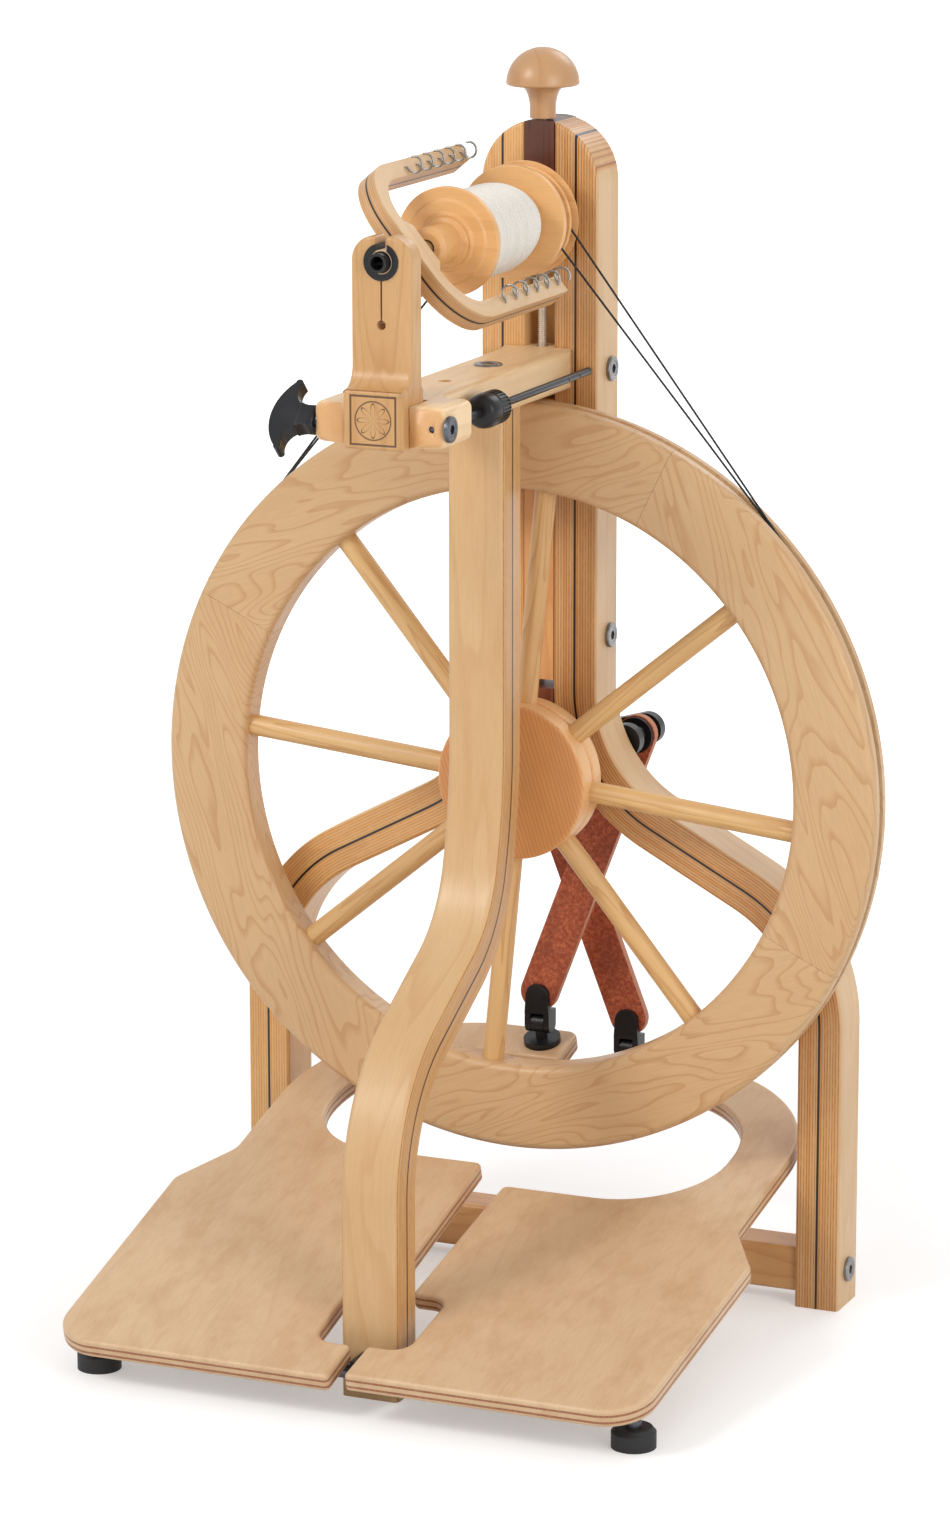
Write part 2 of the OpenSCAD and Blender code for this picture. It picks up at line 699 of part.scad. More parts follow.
module hinge_rod() color(black) place() translate([0, hinge_y, hinge_z]) {
    bend_x = foot_span / 2 - rod_bend_r;
    cyl_x(-bend_x - 0.01, 2 * bend_x + 0.02, hinge_rod_d);
    for (s = [-1, 1]) {
        translate([s * bend_x, 0, -rod_bend_r]) rotate([90, 0, 0]) rotate([0, 0, s > 0 ? 0 : 90])
            rotate_extrude(angle = 90) translate([rod_bend_r, 0]) circle(d = hinge_rod_d);
        translate([s * foot_span / 2, 0, 5 - hinge_z])
            cylinder(d = hinge_rod_d, h = hinge_z - rod_bend_r - 4.99);
    }
}

module hinge_bracket() color(black) place() difference() {
    translate([-bracket_w / 2, hinge_y - hinge_rod_d / 2 - 2.5, hinge_z - bracket_h / 2])
        cube([bracket_w, post_front - hinge_y + hinge_rod_d / 2 + 2.5 - seat_play, bracket_h]);
    translate([0, hinge_y, hinge_z]) cyl_x(-bracket_w, 2 * bracket_w, hinge_rod_d + 2 * seat_play);
}

module rubber_feet() color(black) place() for (s = [-1, 1])
    translate([s * foot_span / 2, hinge_y, 0]) difference() {
        union() {
            cylinder(d = foot_d, h = foot_h - 3);
            translate([0, 0, foot_h - 3.01]) cylinder(d1 = foot_d, d2 = foot_d - 5, h = 3.01);
        }
        translate([0, 0, 5 - seat_play]) cylinder(d = hinge_rod_d + 2 * seat_play, h = foot_h);
    }

// drive wheel
module rim_profile() {
    g = rim_groove_w / 2;
    polygon([[rim_in_r, 0], [wheel_r, 0], [wheel_r, rim_mid - g], [wheel_r - rim_groove_depth, rim_mid - g + 1],
        [wheel_r - rim_groove_depth, rim_mid + g - 1], [wheel_r, rim_mid + g], [wheel_r, rim_t], [rim_in_r, rim_t]]);
}

module rim_segments() color(maple) place() translate([0, 0, axle_z]) difference() {
    rotate([90, 0, 0]) mirror([0, 0, 1]) rotate_extrude($fn = 180) rim_profile();
    for (k = [0 : 3]) rotate([0, -rim_joint_angle - 90 * k, 0])
        translate([rim_in_r - 5, -1, -rim_joint / 2]) cube([rim_w + 10, rim_t + 2, rim_joint]);
    for (k = [0 : spoke_count - 1]) rotate([0, -spoke_angle - 360 / spoke_count * k, 0])
        translate([rim_in_r - 8, spoke_y, 0]) cyl_x(0, spoke_seat + 8 + seat_play, spoke_d + 2 * seat_play);
}

module spokes() color(maple) place() translate([0, spoke_y, axle_z])
    for (k = [0 : spoke_count - 1]) rotate([0, -spoke_angle - 360 / spoke_count * k, 0])
        cyl_x(hub_d / 2 - spoke_seat, rim_in_r - hub_d / 2 + 2 * spoke_seat, spoke_d);

module hub_disc(y, l) translate([0, 0, axle_z]) difference() {
    cyl_y(y, l, hub_d, $fn = 96);
    cyl_y(y - 1, l + 2, axle_d + 2 * seat_play);
    for (k = [0 : spoke_count - 1]) rotate([0, -spoke_angle - 360 / spoke_count * k, 0])
        translate([0, spoke_y, 0]) cyl_x(hub_d / 2 - spoke_seat - seat_play, hub_d, spoke_d + 2 * seat_play);
}

module hub_front_disc() color(maple_dark) place() hub_disc(hub_y0, hub_joint - hub_y0 - seat_play);

module hub_rear_disc() color(maple) place() hub_disc(hub_joint, hub_disc_t);

module axle() color(steel) place() translate([0, 0, axle_z])
    cyl_y(post_back - bearing_len + 1, crank_y0 + crank_arm_t - 0.6 - post_back + bearing_len - 1, axle_d);

// crank
module crank_place() place() translate([0, 0, axle_z]) rotate([0, -crank_angle, 0]) children();

module crank_arm(y, x0, x1) {
    cyl_y(y, crank_arm_t, crank_arm_w);
    translate([x0, y, -crank_arm_w / 2]) cube([x1 - x0, crank_arm_t, crank_arm_w]);
    for (x = [x0, x1]) translate([x, 0, 0]) cyl_y(y, crank_arm_t, crank_arm_w);
}

module crank_front_arm() color(black) crank_place() difference() {
    crank_arm(crank_y0, 0, crank_r);
    cyl_y(crank_y0 - 1, crank_arm_t + 0.6, axle_d + 2 * run_play);
    translate([crank_r, 0, 0]) cyl_y(crank_y0 - 1, crank_arm_t + 2, crank_pin_d + 2 * seat_play);
}

module crank_rear_arm() color(black) crank_place() difference() {
    crank_arm(web_mid - crank_arm_t / 2, -crank_r, crank_r);
    for (s = [-1, 1]) translate([s * crank_r, 0, 0])
        cyl_y(web_mid - crank_arm_t, 2 * crank_arm_t, crank_pin_d + 2 * seat_play);
}

module crank_pins() color(steel) crank_place() {
    translate([crank_r, 0, 0]) cyl_y(crank_y0, web_mid + crank_arm_t / 2 - crank_y0, crank_pin_d);
    translate([-crank_r, 0, 0]) {
        cyl_y(web_mid - crank_arm_t / 2, rear_plane - web_mid + crank_arm_t / 2 + pitman_t / 2 + 4, crank_pin_d);
        cyl_y(rear_plane + pitman_t / 2 + 3.99, 3, crank_pin_d + 5);
    }
}

// pitmans: strap from the crank pin at px, pz down to the knuckle at kx, kz
module strap(px, pz, kx, kz, y) place() translate([0, y + pitman_t / 2, 0]) rotate([90, 0, 0]) difference() {
    d = [kx - px, kz + strap_lift - pz];
    h = pitman_w / 2;
    l = norm(d) + h;
    r = h - 0.02;
    translate([px, pz, 0]) rotate([0, 0, atan2(d[1], d[0])])
        linear_extrude(pitman_t) polygon(outline([[-h, -h, r], [l, -h, r], [l, h, r], [-h, h, r]]));
    translate([px, pz, -1])
        cylinder(d = crank_pin_d + 2 * (pitman_play + pitman_bush_wall + seat_play), h = pitman_t + 2);
}

module strap_bush(px, pz, y) place() translate([px, 0, pz]) difference() {
    union() {
        cyl_y(y - pitman_t / 2 - 3, pitman_t + 3, crank_pin_d + 2 * (pitman_play + pitman_bush_wall));
        cyl_y(y - pitman_t / 2 - 3, 3 - seat_play, pitman_w - 2);
    }
    cyl_y(y - pitman_t, 2 * pitman_t, crank_pin_d + 2 * pitman_play);
}

module fork(kx, kz, y) place() translate([kx, y, kz]) {
    h = eye_d / 2 + 1.2;
    w = eye_w / 2 + 0.3;
    for (s = [-1, 1]) {
        cyl_x(s > 0 ? w : -w - cheek_t, cheek_t, eye_d);
        translate([s > 0 ? w : -w - cheek_t, -eye_d / 2, 0]) cube([cheek_t, eye_d, h + 2]);
    }
    cyl_x(-w - cheek_t, 2 * (w + cheek_t), knuckle_pin_d);
    top = strap_lift - pitman_w / 2 - seat_play;
    translate([-w - cheek_t, -eye_d / 2, h]) cube([2 * (w + cheek_t), eye_d, top - h]);
    tang = 3.5;
    translate([-w - cheek_t, -pitman_t / 2 - seat_play - tang, h])
        cube([2 * (w + cheek_t), tang, strap_lift + 10 - h]);
}

module front_pitman() color(fibre) strap(pin_x, axle_z + pin_z, -knuckle_x, front_low_z, front_plane);

module front_pitman_bush() color(black) strap_bush(pin_x, axle_z + pin_z, front_plane);

module front_fork() color(black) fork(-knuckle_x, front_low_z, front_plane);

module rear_pitman() color(fibre) strap(-pin_x, axle_z - pin_z, knuckle_x, rear_low_z, rear_plane);

module rear_pitman_bush() color(black) strap_bush(-pin_x, axle_z - pin_z, rear_plane);

module rear_fork() color(black) fork(knuckle_x, rear_low_z, rear_plane);

// treadles, drawn flat about the hinge line as the right one
module tread_place(a) place() translate([0, hinge_y, hinge_z]) rotate([a, 0, 0]) children();

module tread_board(s, arm_y) {
    g = treadle_gap / 2;
    x = treadle_half_w;
    r = opening_half_w - arm_centre_x;
    a1 = arm_y + arm_w;
    p = outline([
        [g, -treadle_front, 3], [g, notch_y0, 3], [notch_half_w, notch_y0, notch_r],
        [notch_half_w, notch_y1, notch_r], [g + 0.6, notch_y1, 4],
        [g + 0.6, plate_len, 5], [opening_half_w, plate_len, min(throat_r, arm_y - plate_len - r - 1)],
        [opening_half_w, arm_y, r],
        [g, arm_y, 3], [g, a1, 8], [neck_half_w, a1, r + arm_w], [neck_half_w + 1, neck_y, 20],
        [x, shoulder_y, 12], [x - 2, -treadle_front, plate_r]]);
    q = [for (t = p) [s * t[0], t[1]]];
    translate([0, 0, treadle_lift]) linear_extrude(treadle_t) polygon(s > 0 ? q : turned_round(q));
}

module left_treadle() color(maple) tread_place(left_slope) tread_board(-1, left_arm_y);

module right_treadle() color(maple) tread_place(right_slope) tread_board(1, right_arm_y);

module hinge_blocks(s) for (x = [hinge_block_in, foot_span / 2 - hinge_block_out])
    translate([s * x, 0, 0]) difference() {
    union() {
        cyl_x(-hinge_block_len / 2, hinge_block_len, 2 * treadle_lift - 0.4);
        translate([-hinge_block_len / 2, -treadle_lift, 0])
            cube([hinge_block_len, 2 * treadle_lift, treadle_lift - seat_play]);
    }
    cyl_x(-hinge_block_len, 2 * hinge_block_len, hinge_rod_d + 2 * run_play);
}

module left_hinge_blocks() color(black) tread_place(left_slope) hinge_blocks(-1);

module right_hinge_blocks() color(black) tread_place(right_slope) hinge_blocks(1);

module swivel(s, y, a) {
    tread_place(a) translate([s * knuckle_x, y, plate_z + seat_play]) {
        cylinder(d = flange_d, h = flange_t);
        difference() {
            union() {
                cylinder(d = stem_d, h = knuckle_h);
                translate([0, 0, knuckle_h - seat_play]) cyl_x(-eye_w / 2, eye_w, eye_d);
            }
            translate([0, 0, knuckle_h - seat_play]) cyl_x(-eye_w, 2 * eye_w, knuckle_pin_d + 2 * run_play);
        }
    }
}

module left_swivel() color(black) swivel(-1, left_knuckle_y, left_slope);

module right_swivel() color(black) swivel(1, right_knuckle_y, right_slope);

// head beam
module beam_outline() {
    b = beam_w / 2;
    h = head_w / 2;
    t = leg_in - tongue_play;
    polygon(outline([[-h, head_y0, lug_r], [h, head_y0, lug_r], [h, head_y1, lug_r], [b, head_y1, lug_hollow_r],
        [b, beam_y1, 2], [t, beam_y1, 0.4], [t, tongue_y1, 1], [-t, tongue_y1, 1], [-t, beam_y1, 0.4],
        [-b, beam_y1, 2], [-b, head_y1, lug_hollow_r], [-h, head_y1, lug_r]]));
}

module moa_beam() color(maple) place() difference() {
    translate([0, 0, beam_z]) linear_extrude(beam_t) beam_outline();
    translate([-maiden_w / 2 - base_play, head_y0 - 1, beam_z - 1])
        cube([maiden_w + 2 * base_play, clamp_y + base_sweep + 1 - head_y0 + 1, beam_t + 2]);
    translate([0, clamp_y, clamp_z]) cyl_x(-head_w, 2 * head_w, clamp_d + 2 * seat_play);
    translate([0, beam_bolt_y, beam_z - 1]) cylinder(d = bolt_d + 2 * seat_play, h = beam_t + 2);
    translate([0, (head_y1 + post_mid) / 2 - 4, beam_z - 1]) cylinder(d = spare_hole_d, h = beam_t + 2);
    translate([brake_rod_x, head_y1 - 16, clamp_z]) cyl_y(0, 20, brake_rod_d + 2 * run_play);
    translate([brake_rod_x - 1.5, head_y0 - 1, clamp_z]) cyl_y(0, 12, 4.5);
    translate([0, tension_y, beam_z - 1]) cylinder(d = tension_rod_d + 2 * beam_rod_play, h = beam_t + 2);
    translate([0, tension_y, beam_z + beam_t / 2]) cyl_x(-slot_w, 2 * slot_w, nut_d + 2 * seat_play);
}

module beam_bolt() color(black) place() translate([0, beam_bolt_y, beam_top]) {
    cylinder(d = washer_d, h = washer_t);
    translate([0, 0, washer_t - 0.01]) cylinder(d = head_d, h = head_h);
    translate([0, 0, -beam_t - 24]) cylinder(d = bolt_d, h = beam_t + 24.01);
}

module barrel_nut() color(steel) place() translate([0, tension_y, beam_z + beam_t / 2]) difference() {
    cyl_x(-leg_in + tongue_play + 0.5, slot_w - 2 * tongue_play - 1, nut_d);
    translate([0, 0, -nut_d]) cylinder(d = tension_rod_d + 2 * nut_play, h = 2 * nut_d);
}

module carriage_cut(z, h) {
    w = tension_rod_d + 1.2;
    l = tension_rod_d + 2 * carriage_slot;
    translate([-w / 2, tension_y - l / 2, z]) cube([w, l, h]);
}

module rear_bearing_block() color(maple_dark) place() difference() {
    union() {
        translate([-carriage_w / 2, carriage_y0, flyer_z - carriage_h / 2])
            cube([carriage_w, carriage_y1 - carriage_y0, carriage_h]);
        translate([-leg_in + tongue_play, carriage_y1 - 1, flyer_z - carriage_h / 2])
            cube([slot_w - 2 * tongue_play, carriage_y2 - carriage_y1 + 1, carriage_h]);
    }
    translate([0, 0, flyer_z]) cyl_y(carriage_y0 - 1, tension_y - 7 - carriage_y0, shaft_d + 2 * run_play);
    carriage_cut(flyer_z - carriage_h, 2 * carriage_h);
}

module carriage_nuts() color(steel) place() for (s = [-1, 1]) difference() {
    translate([-leg_in + tongue_play + 0.6, carriage_y1 + 0.6, flyer_z + s * (carriage_h / 2 + 0.85) - 0.8])
        cube([slot_w - 2 * tongue_play - 1.2, carriage_y2 - carriage_y1 - 1.2, 1.6]);
    carriage_cut(flyer_z + s * (carriage_h / 2 + 0.85) - 3, 6);
}

module clamp_bolt() color(black) place() translate([0, clamp_y, clamp_z]) {
    cyl_x(-head_w / 2 - tee_stem_len + 6, head_w + tee_stem_len - 6, clamp_d);
    translate([head_w / 2, 0, 0]) bolt_head(1);
}

// brake rod
module brake_rod() color(black) place() translate([brake_rod_x, 0, clamp_z]) difference() {
    cyl_y(head_y1 - 15, leg_gap - 4 - head_y1 + 15, brake_rod_d);
    for (y = [leg_gap - 42, leg_gap - 24]) translate([0, y, 0]) cyl_x(-5, 10, 1.6);
}

module brake_knob() color(black) place() translate([brake_rod_x, head_y1 + brake_knob_back, clamp_z]) difference() {
    rotate([-90, 0, 0]) rotate_extrude() polygon([
        [brake_rod_d / 2 + seat_play, 0], [brake_knob_d / 2 - 5, 0], [brake_knob_d / 2 - 1.5, 2],
        [brake_knob_d / 2, 6], [brake_knob_d / 2, brake_knob_len - 2],
        [brake_knob_d / 2 - 2, brake_knob_len], [brake_rod_d / 2 + seat_play, brake_knob_len]]);
    for (k = [0 : knob_grooves - 1]) rotate([0, 360 / knob_grooves * k, 0])
        translate([brake_knob_d / 2 + 0.5, 0, 0]) cyl_y(brake_knob_len / 2, brake_knob_len, 2, $fn = 16);
}

// front maiden
module maiden_outline() {
    w = maiden_w / 2;
    z = base_z0 + base_h - 1;
    t = flyer_z + maiden_top;
    polygon(concat([[-w, z], [w, z]], corner([w, z], [w, t, maiden_r], [-w, t], 12),
        corner([w, t], [-w, t, maiden_r], [-w, z], 12)));
}

module front_maiden() color(maple) place() difference() {
    union() {
        translate([-maiden_w / 2, base_y0, base_z0]) cube([maiden_w, base_d, base_h]);
        translate([0, maiden_y0 + maiden_t, 0]) rotate([90, 0, 0]) linear_extrude(maiden_t) maiden_outline();
        translate([-maiden_w / 2, maiden_y0 + 0.01, base_z0 + base_h - 0.01]) difference() {
            translate([0, -13, 0]) cube([maiden_w, 13, 13]);
            translate([0, -13, 13]) cyl_x(-1, maiden_w + 2, 26);
        }
    }
    translate([0, 0, flyer_z]) cyl_y(maiden_y0 - 1, maiden_t + 2, bush_d + 2 * seat_play);
    translate([-top_gap / 2, maiden_y0 - 1, flyer_z]) cube([top_gap, maiden_t + 2, 40]);
    translate([-kerf_w / 2, maiden_y0 - 1, flyer_z - 38]) cube([kerf_w, maiden_t + 2, 38]);
    translate([0, 0, flyer_z - 38]) cyl_y(maiden_y0 - 1, maiden_t + 2, kerf_hole_d);
    translate([0, clamp_y, clamp_z]) cyl_x(-maiden_w, 2 * maiden_w, clamp_d + 2 * run_play);
    translate([0, base_y0 - 1, base_z0 + base_h / 2]) difference() {
        translate([-13, 0, -13]) cube([26, 1 + mark_depth, 26]);
        translate([-12, -1, -12]) cube([24, 3 + mark_depth, 24]);
    }
}

module orifice_bush() color(black) place() translate([0, 0, flyer_z]) difference() {
    cyl_y(maiden_y0 - 0.8, maiden_t + 0.8, bush_d);
    cyl_y(maiden_y0 - 2, maiden_t + 4, bush_bore);
    translate([-top_gap / 2, maiden_y0 - 2, 0]) cube([top_gap, maiden_t + 4, 40]);
}

// half the outline of the handle, from the lug to the tip of a horn
tee_c = tee_sweep_r - tee_stem_len - tee_mid_t;
tee_zc = tee_stem_d / 2 + tee_hollow_r;
tee_zt = tee_span / 2 - tee_tip_r;
tee_turn = 90 + asin((tee_zt - tee_zc) / tee_hollow_r);
tee_tip_in = -tee_hollow_x - tee_hollow_r * sin(tee_turn);
tee_tip_out = tee_c - sqrt(pow(tee_sweep_r, 2) - pow(tee_zt, 2));
tee_half = concat([[-0.3, tee_stem_d / 2]], [for (i = [0 : 12]) let (b = -90 - tee_turn * i / 12)
    [-tee_hollow_x + tee_hollow_r * cos(b), tee_zc + tee_hollow_r * sin(b)]],
    [for (a = [20 : 20 : 160]) [(tee_tip_in + tee_tip_out) / 2 + (tee_tip_in - tee_tip_out) / 2 * cos(a),
        tee_zt + (tee_tip_in - tee_tip_out) / 2 * sin(a)]],
    [for (i = [0 : 9]) let (z = tee_zt * (1 - i / 10)) [tee_c - sqrt(pow(tee_sweep_r, 2) - z * z), z]]);

module t_handle() color(black) place() translate([tee_x, clamp_y, clamp_z]) rotate([tee_lean, 0, 0]) difference() {
    rotate([90, 0, 0]) translate([0, 0, -tee_arm_d / 2]) linear_extrude(tee_arm_d)
        polygon(concat(tee_half, [[tee_c - tee_sweep_r, 0]], [for (t = turned_round(tee_half)) [t[0], -t[1]]]));
    cyl_x(-tee_stem_len + 5, tee_stem_len, clamp_d + 2 * run_play);
}

// flyer
module flyer_place() place() translate([0, 0, flyer_z]) rotate([0, -flyer_turn, 0]) children();

module flyer_bar() {
    h = flyer_t / 2;
    tip = flyer_len - h;
    linear_extrude(flyer_w) polygon(outline([
        [-flyer_r - h, -h, flyer_bend_r + h], [flyer_r + h, -h, flyer_bend_r + h],
        [flyer_r + h, tip, 1.5], [flyer_r - h, tip, 1.5], [flyer_r - h, h, flyer_bend_r - h],
        [boss_half + boss_rise, h, 1.2], [boss_half, h + boss_rise, 2], [-boss_half, h + boss_rise, 2],
        [-boss_half - boss_rise, h, 1.2],
        [-flyer_r + h, h, flyer_bend_r - h], [-flyer_r + h, tip, 1.5], [-flyer_r - h, tip, 1.5]]));
}

module flyer_arms() color(maple) flyer_place() difference() {
    translate([0, bow_y + flyer_t / 2, -flyer_w / 2]) flyer_bar();
    cyl_y(bow_y - 1, flyer_t + 1 + seat_play, orifice_d + 2 * seat_play);
    cyl_y(bow_y + 1, flyer_t + boss_rise + 2, shaft_d + 2 * seat_play);
    hook_holes();
}

hook_y0 = bow_y + hook_start;
hook_z = -flyer_w / 2;
hook_h = hook_wire_d / 2 + hook_gap_tip;
module hook_holes() for (s = [-1, 1], k = [0 : hook_count - 1])
    translate([s * flyer_r, hook_y0 + hook_pitch * k, hook_z - 1])
        cylinder(d = hook_wire_d + 2 * seat_play, h = 1 + hook_seat + seat_play, $fn = 24);

function hook_path(s, y) = concat([[s * flyer_r, y, hook_z + hook_seat], [s * flyer_r, y, hook_z - hook_h / 2],
    [s * (flyer_r - 0.5), y, hook_z - hook_h * 0.95]], [for (a = [-90 : 21 : 162])
    [s * (flyer_r - hook_in - hook_r * cos(a)), y, hook_z - hook_h - hook_r - hook_r * sin(a)]]);

module flyer_hooks() color(steel) flyer_place() for (s = [-1, 1], k = [0 : hook_count - 1])
    tube(hook_path(s, hook_y0 + hook_pitch * k), hook_wire_d / 2, false, [0, 1, 0]);

module orifice_tube() color(black) flyer_place() difference() {
    cyl_y(-orifice_reach, orifice_reach + bow_y + flyer_t, orifice_d);
    cyl_y(-orifice_reach - 1, 34, orifice_bore);
    translate([0, -orifice_reach + 28, -orifice_d]) cylinder(d = 6, h = orifice_d);
}

module flyer_shaft() color(steel) flyer_place()
    cyl_y(bow_y + flyer_t + seat_play, tension_y - 9 - bow_y - flyer_t, shaft_d);

module flyer_whorl() color(maple_dark) flyer_place() difference() {
    rotate([-90, 0, 0]) rotate_extrude($fn = 96) polygon([
        [shaft_d / 2 + seat_play, whorl_y0], [whorl_d / 2 - 3, whorl_y0], [whorl_d / 2 - 2, whorl_y0 + 1.5],
        [whorl_groove_d / 2, whorl_groove_y - 1.2], [whorl_groove_d / 2, whorl_groove_y + 1.2],
        [whorl_d / 2, whorl_y1 - 1.5], [whorl_d / 2 - 1, whorl_y1], [shaft_d / 2 + seat_play, whorl_y1]]);
}

// bobbin
module bobbin_place() place() translate([0, 0, flyer_z]) children();

module bobbin_turned(p) rotate([-90, 0, 0]) rotate_extrude($fn = 96) polygon(p);

module bobbin_front_flange() color(maple) bobbin_place() bobbin_turned([
    [shaft_d / 2 + 0.4, bobbin_y0], [bobbin_front_d * 0.26, bobbin_y0], [bobbin_front_d * 0.27, bobbin_y0 + 1.6],
    [bobbin_front_d * 0.38, bobbin_y0 + 1.6], [bobbin_front_d * 0.39, bobbin_y0 + 3],
    [bobbin_front_d / 2, bobbin_y0 + 3], [bobbin_front_d / 2, bobbin_y1 - seat_play],
    [shaft_d / 2 + 0.4, bobbin_y1 - seat_play]]);

module bobbin_core() color(maple_dark) bobbin_place() bobbin_turned([
    [shaft_d / 2 + 0.4, bobbin_y1], [bobbin_core_d / 2, bobbin_y1],
    [bobbin_core_d / 2, bobbin_y2 - seat_play], [shaft_d / 2 + 0.4, bobbin_y2 - seat_play]]);

module bobbin_rear_flange() color(maple) bobbin_place() bobbin_turned([
    [shaft_d / 2 + 0.4, bobbin_y2], [bobbin_rear_d / 2, bobbin_y2], [bobbin_rear_d / 2, bobbin_y2 + bobbin_rear_t - 1],
    [bobbin_groove_d / 2, bobbin_groove_y - 1.1], [bobbin_groove_d / 2, bobbin_groove_y + 1.1],
    [bobbin_rear_d / 2 - 6, bobbin_y3 - bobbin_lip_t + 1], [bobbin_rear_d / 2 - 6, bobbin_y3],
    [shaft_d / 2 + 0.4, bobbin_y3]]);

function yarn_drop(y) = yarn_taper * pow(max(0, (y - bobbin_y2 + yarn_taper_len) / yarn_taper_len), 2);
module yarn_core() color(wool) bobbin_place() bobbin_turned(concat(
    [[bobbin_core_d / 2 + seat_play, bobbin_y1 + seat_play], [yarn_core_d / 2, bobbin_y1 + seat_play]],
    [for (i = [0 : 6]) let (y = bobbin_y2 - seat_play - yarn_taper_len * (1 - i / 6))
        [yarn_core_d / 2 - yarn_drop(y), y]],
    [[bobbin_core_d / 2 + seat_play, bobbin_y2 - seat_play]]));

yarn_path = [for (i = [0 : 24 * yarn_turns]) let (a = 15 * i)
    let (y = bobbin_y1 + 1.2 + yarn_strand_d / 2 + yarn_pitch * a / 360, r = yarn_path_r - yarn_drop(y))
    [r * cos(a), y, r * sin(a)]];
yarn_near = min([for (i = [0 : 24], j = [i + 20 : min(i + 28, len(yarn_path) - 1)])
    norm(yarn_path[i] - yarn_path[j])]) - yarn_strand_d;
echo(yarn_least_gap = yarn_near);

module yarn_winding() color(wool) bobbin_place() tube(yarn_path, yarn_strand_d / 2, false, [0, 1, 0]);

// tension screw
module tension_knob() {
    r = knob_d / 2;
    n = knob_neck_d / 2;
    e = knob_h - r;
    color(maple) place() translate([0, tension_y, upright_h + 0.6]) rotate_extrude($fn = 96)
        polygon(concat([[tension_rod_d / 2 + seat_play, 0], [n, 0], [n, knob_neck_h]],
            [for (a = [15 : 15 : 75]) [n + (knob_under_r - n) * (1 - cos(a)),
                knob_neck_h + (e - 1.5 - knob_neck_h) * sin(a)]],
            [[knob_under_r, e - 1.2], [r - 1.2, e - 0.6], [r, e + 0.5]],
            [for (a = [6 : 6 : 84]) [r * cos(a), e + r * sin(a)]],
            [[0, knob_h], [0, knob_h * 0.25], [tension_rod_d / 2 + seat_play, knob_h * 0.25]]));
}

module tension_rod() color(steel) place() translate([0, tension_y, beam_z - 6])
    cylinder(d = tension_rod_d, h = upright_h + knob_h * 0.25 - beam_z + 6);

// drive band: one closed cord, twice round the wheel
band_rw = wheel_r - rim_groove_depth + band_d / 2 + band_play;
function lean(r) = asin((band_rw - r) / (flyer_z - axle_z));
function arc(r, z, y, a, b, n) = [for (i = [0 : n]) let (t = a + (b - a) * i / n) [r * cos(t), y, z + r * sin(t)]];
band_rf = whorl_groove_d / 2 + band_d / 2 + band_play;
band_rb = bobbin_groove_d / 2 + band_d / 2 + band_play;
band_ya = rim_mid - band_pitch / 2;
band_yb = rim_mid + band_pitch / 2;
band_path = concat(
    arc(band_rw, axle_z, band_ya, -180 - lean(band_rf), lean(band_rf), 42)
        , arc(band_rf, flyer_z, whorl_groove_y, lean(band_rf), 180 - lean(band_rf), 8),
    arc(band_rw, axle_z, band_yb, -180 - lean(band_rf), lean(band_rb), 42),
    arc(band_rb, flyer_z, bobbin_groove_y, lean(band_rb), 180 - lean(band_rb), 8));

module drive_band() color(black) place() tube(band_path, band_d / 2, true, [0, 1, 0]);

front_post();
left_rear_leg();
right_rear_leg();
walnut_spline();
slot_strip();
centre_filler();
axle_block();
rear_stretcher();
axle_bearings();
frame_bolts();
hinge_rod();
hinge_bracket();
rubber_feet();
rim_segments();
spokes();
hub_front_disc();
hub_rear_disc();
axle();
crank_front_arm();
crank_rear_arm();
crank_pins();
front_pitman();
front_pitman_bush();
front_fork();
rear_pitman();
rear_pitman_bush();
rear_fork();
left_treadle();
right_treadle();
left_hinge_blocks();
right_hinge_blocks();
left_swivel();
right_swivel();
moa_beam();
beam_bolt();
barrel_nut();
rear_bearing_block();
carriage_nuts();
clamp_bolt();
brake_rod();
brake_knob();
front_maiden();
orifice_bush();
t_handle();
flyer_arms();
flyer_hooks();
orifice_tube();
flyer_shaft();
flyer_whorl();
bobbin_front_flange();
bobbin_core();
bobbin_rear_flange();
yarn_core();
yarn_winding();
tension_knob();
tension_rod();
drive_band();
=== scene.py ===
import bpy
import bmesh
import json
import math
from mathutils import Vector, Matrix

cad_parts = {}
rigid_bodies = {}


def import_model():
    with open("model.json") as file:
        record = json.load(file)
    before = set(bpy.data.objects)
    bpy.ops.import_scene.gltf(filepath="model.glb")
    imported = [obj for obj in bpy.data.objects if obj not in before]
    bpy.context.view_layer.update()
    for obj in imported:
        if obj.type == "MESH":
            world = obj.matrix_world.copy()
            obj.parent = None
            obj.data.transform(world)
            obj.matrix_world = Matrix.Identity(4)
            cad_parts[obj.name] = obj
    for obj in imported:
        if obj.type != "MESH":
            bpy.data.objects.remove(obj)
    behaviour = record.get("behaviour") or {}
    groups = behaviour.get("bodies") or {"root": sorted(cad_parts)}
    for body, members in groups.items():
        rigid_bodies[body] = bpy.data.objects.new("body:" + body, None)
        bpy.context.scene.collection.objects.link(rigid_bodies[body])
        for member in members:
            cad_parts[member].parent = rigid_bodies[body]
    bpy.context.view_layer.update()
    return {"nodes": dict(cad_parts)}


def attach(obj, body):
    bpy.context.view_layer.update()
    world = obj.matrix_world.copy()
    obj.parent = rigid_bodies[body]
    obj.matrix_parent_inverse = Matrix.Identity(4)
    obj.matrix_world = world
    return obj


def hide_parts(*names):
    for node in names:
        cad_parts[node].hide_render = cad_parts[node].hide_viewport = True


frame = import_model()
nodes = frame["nodes"]
scene = bpy.context.scene

sin, cos, pi, rad = math.sin, math.cos, math.pi, math.radians

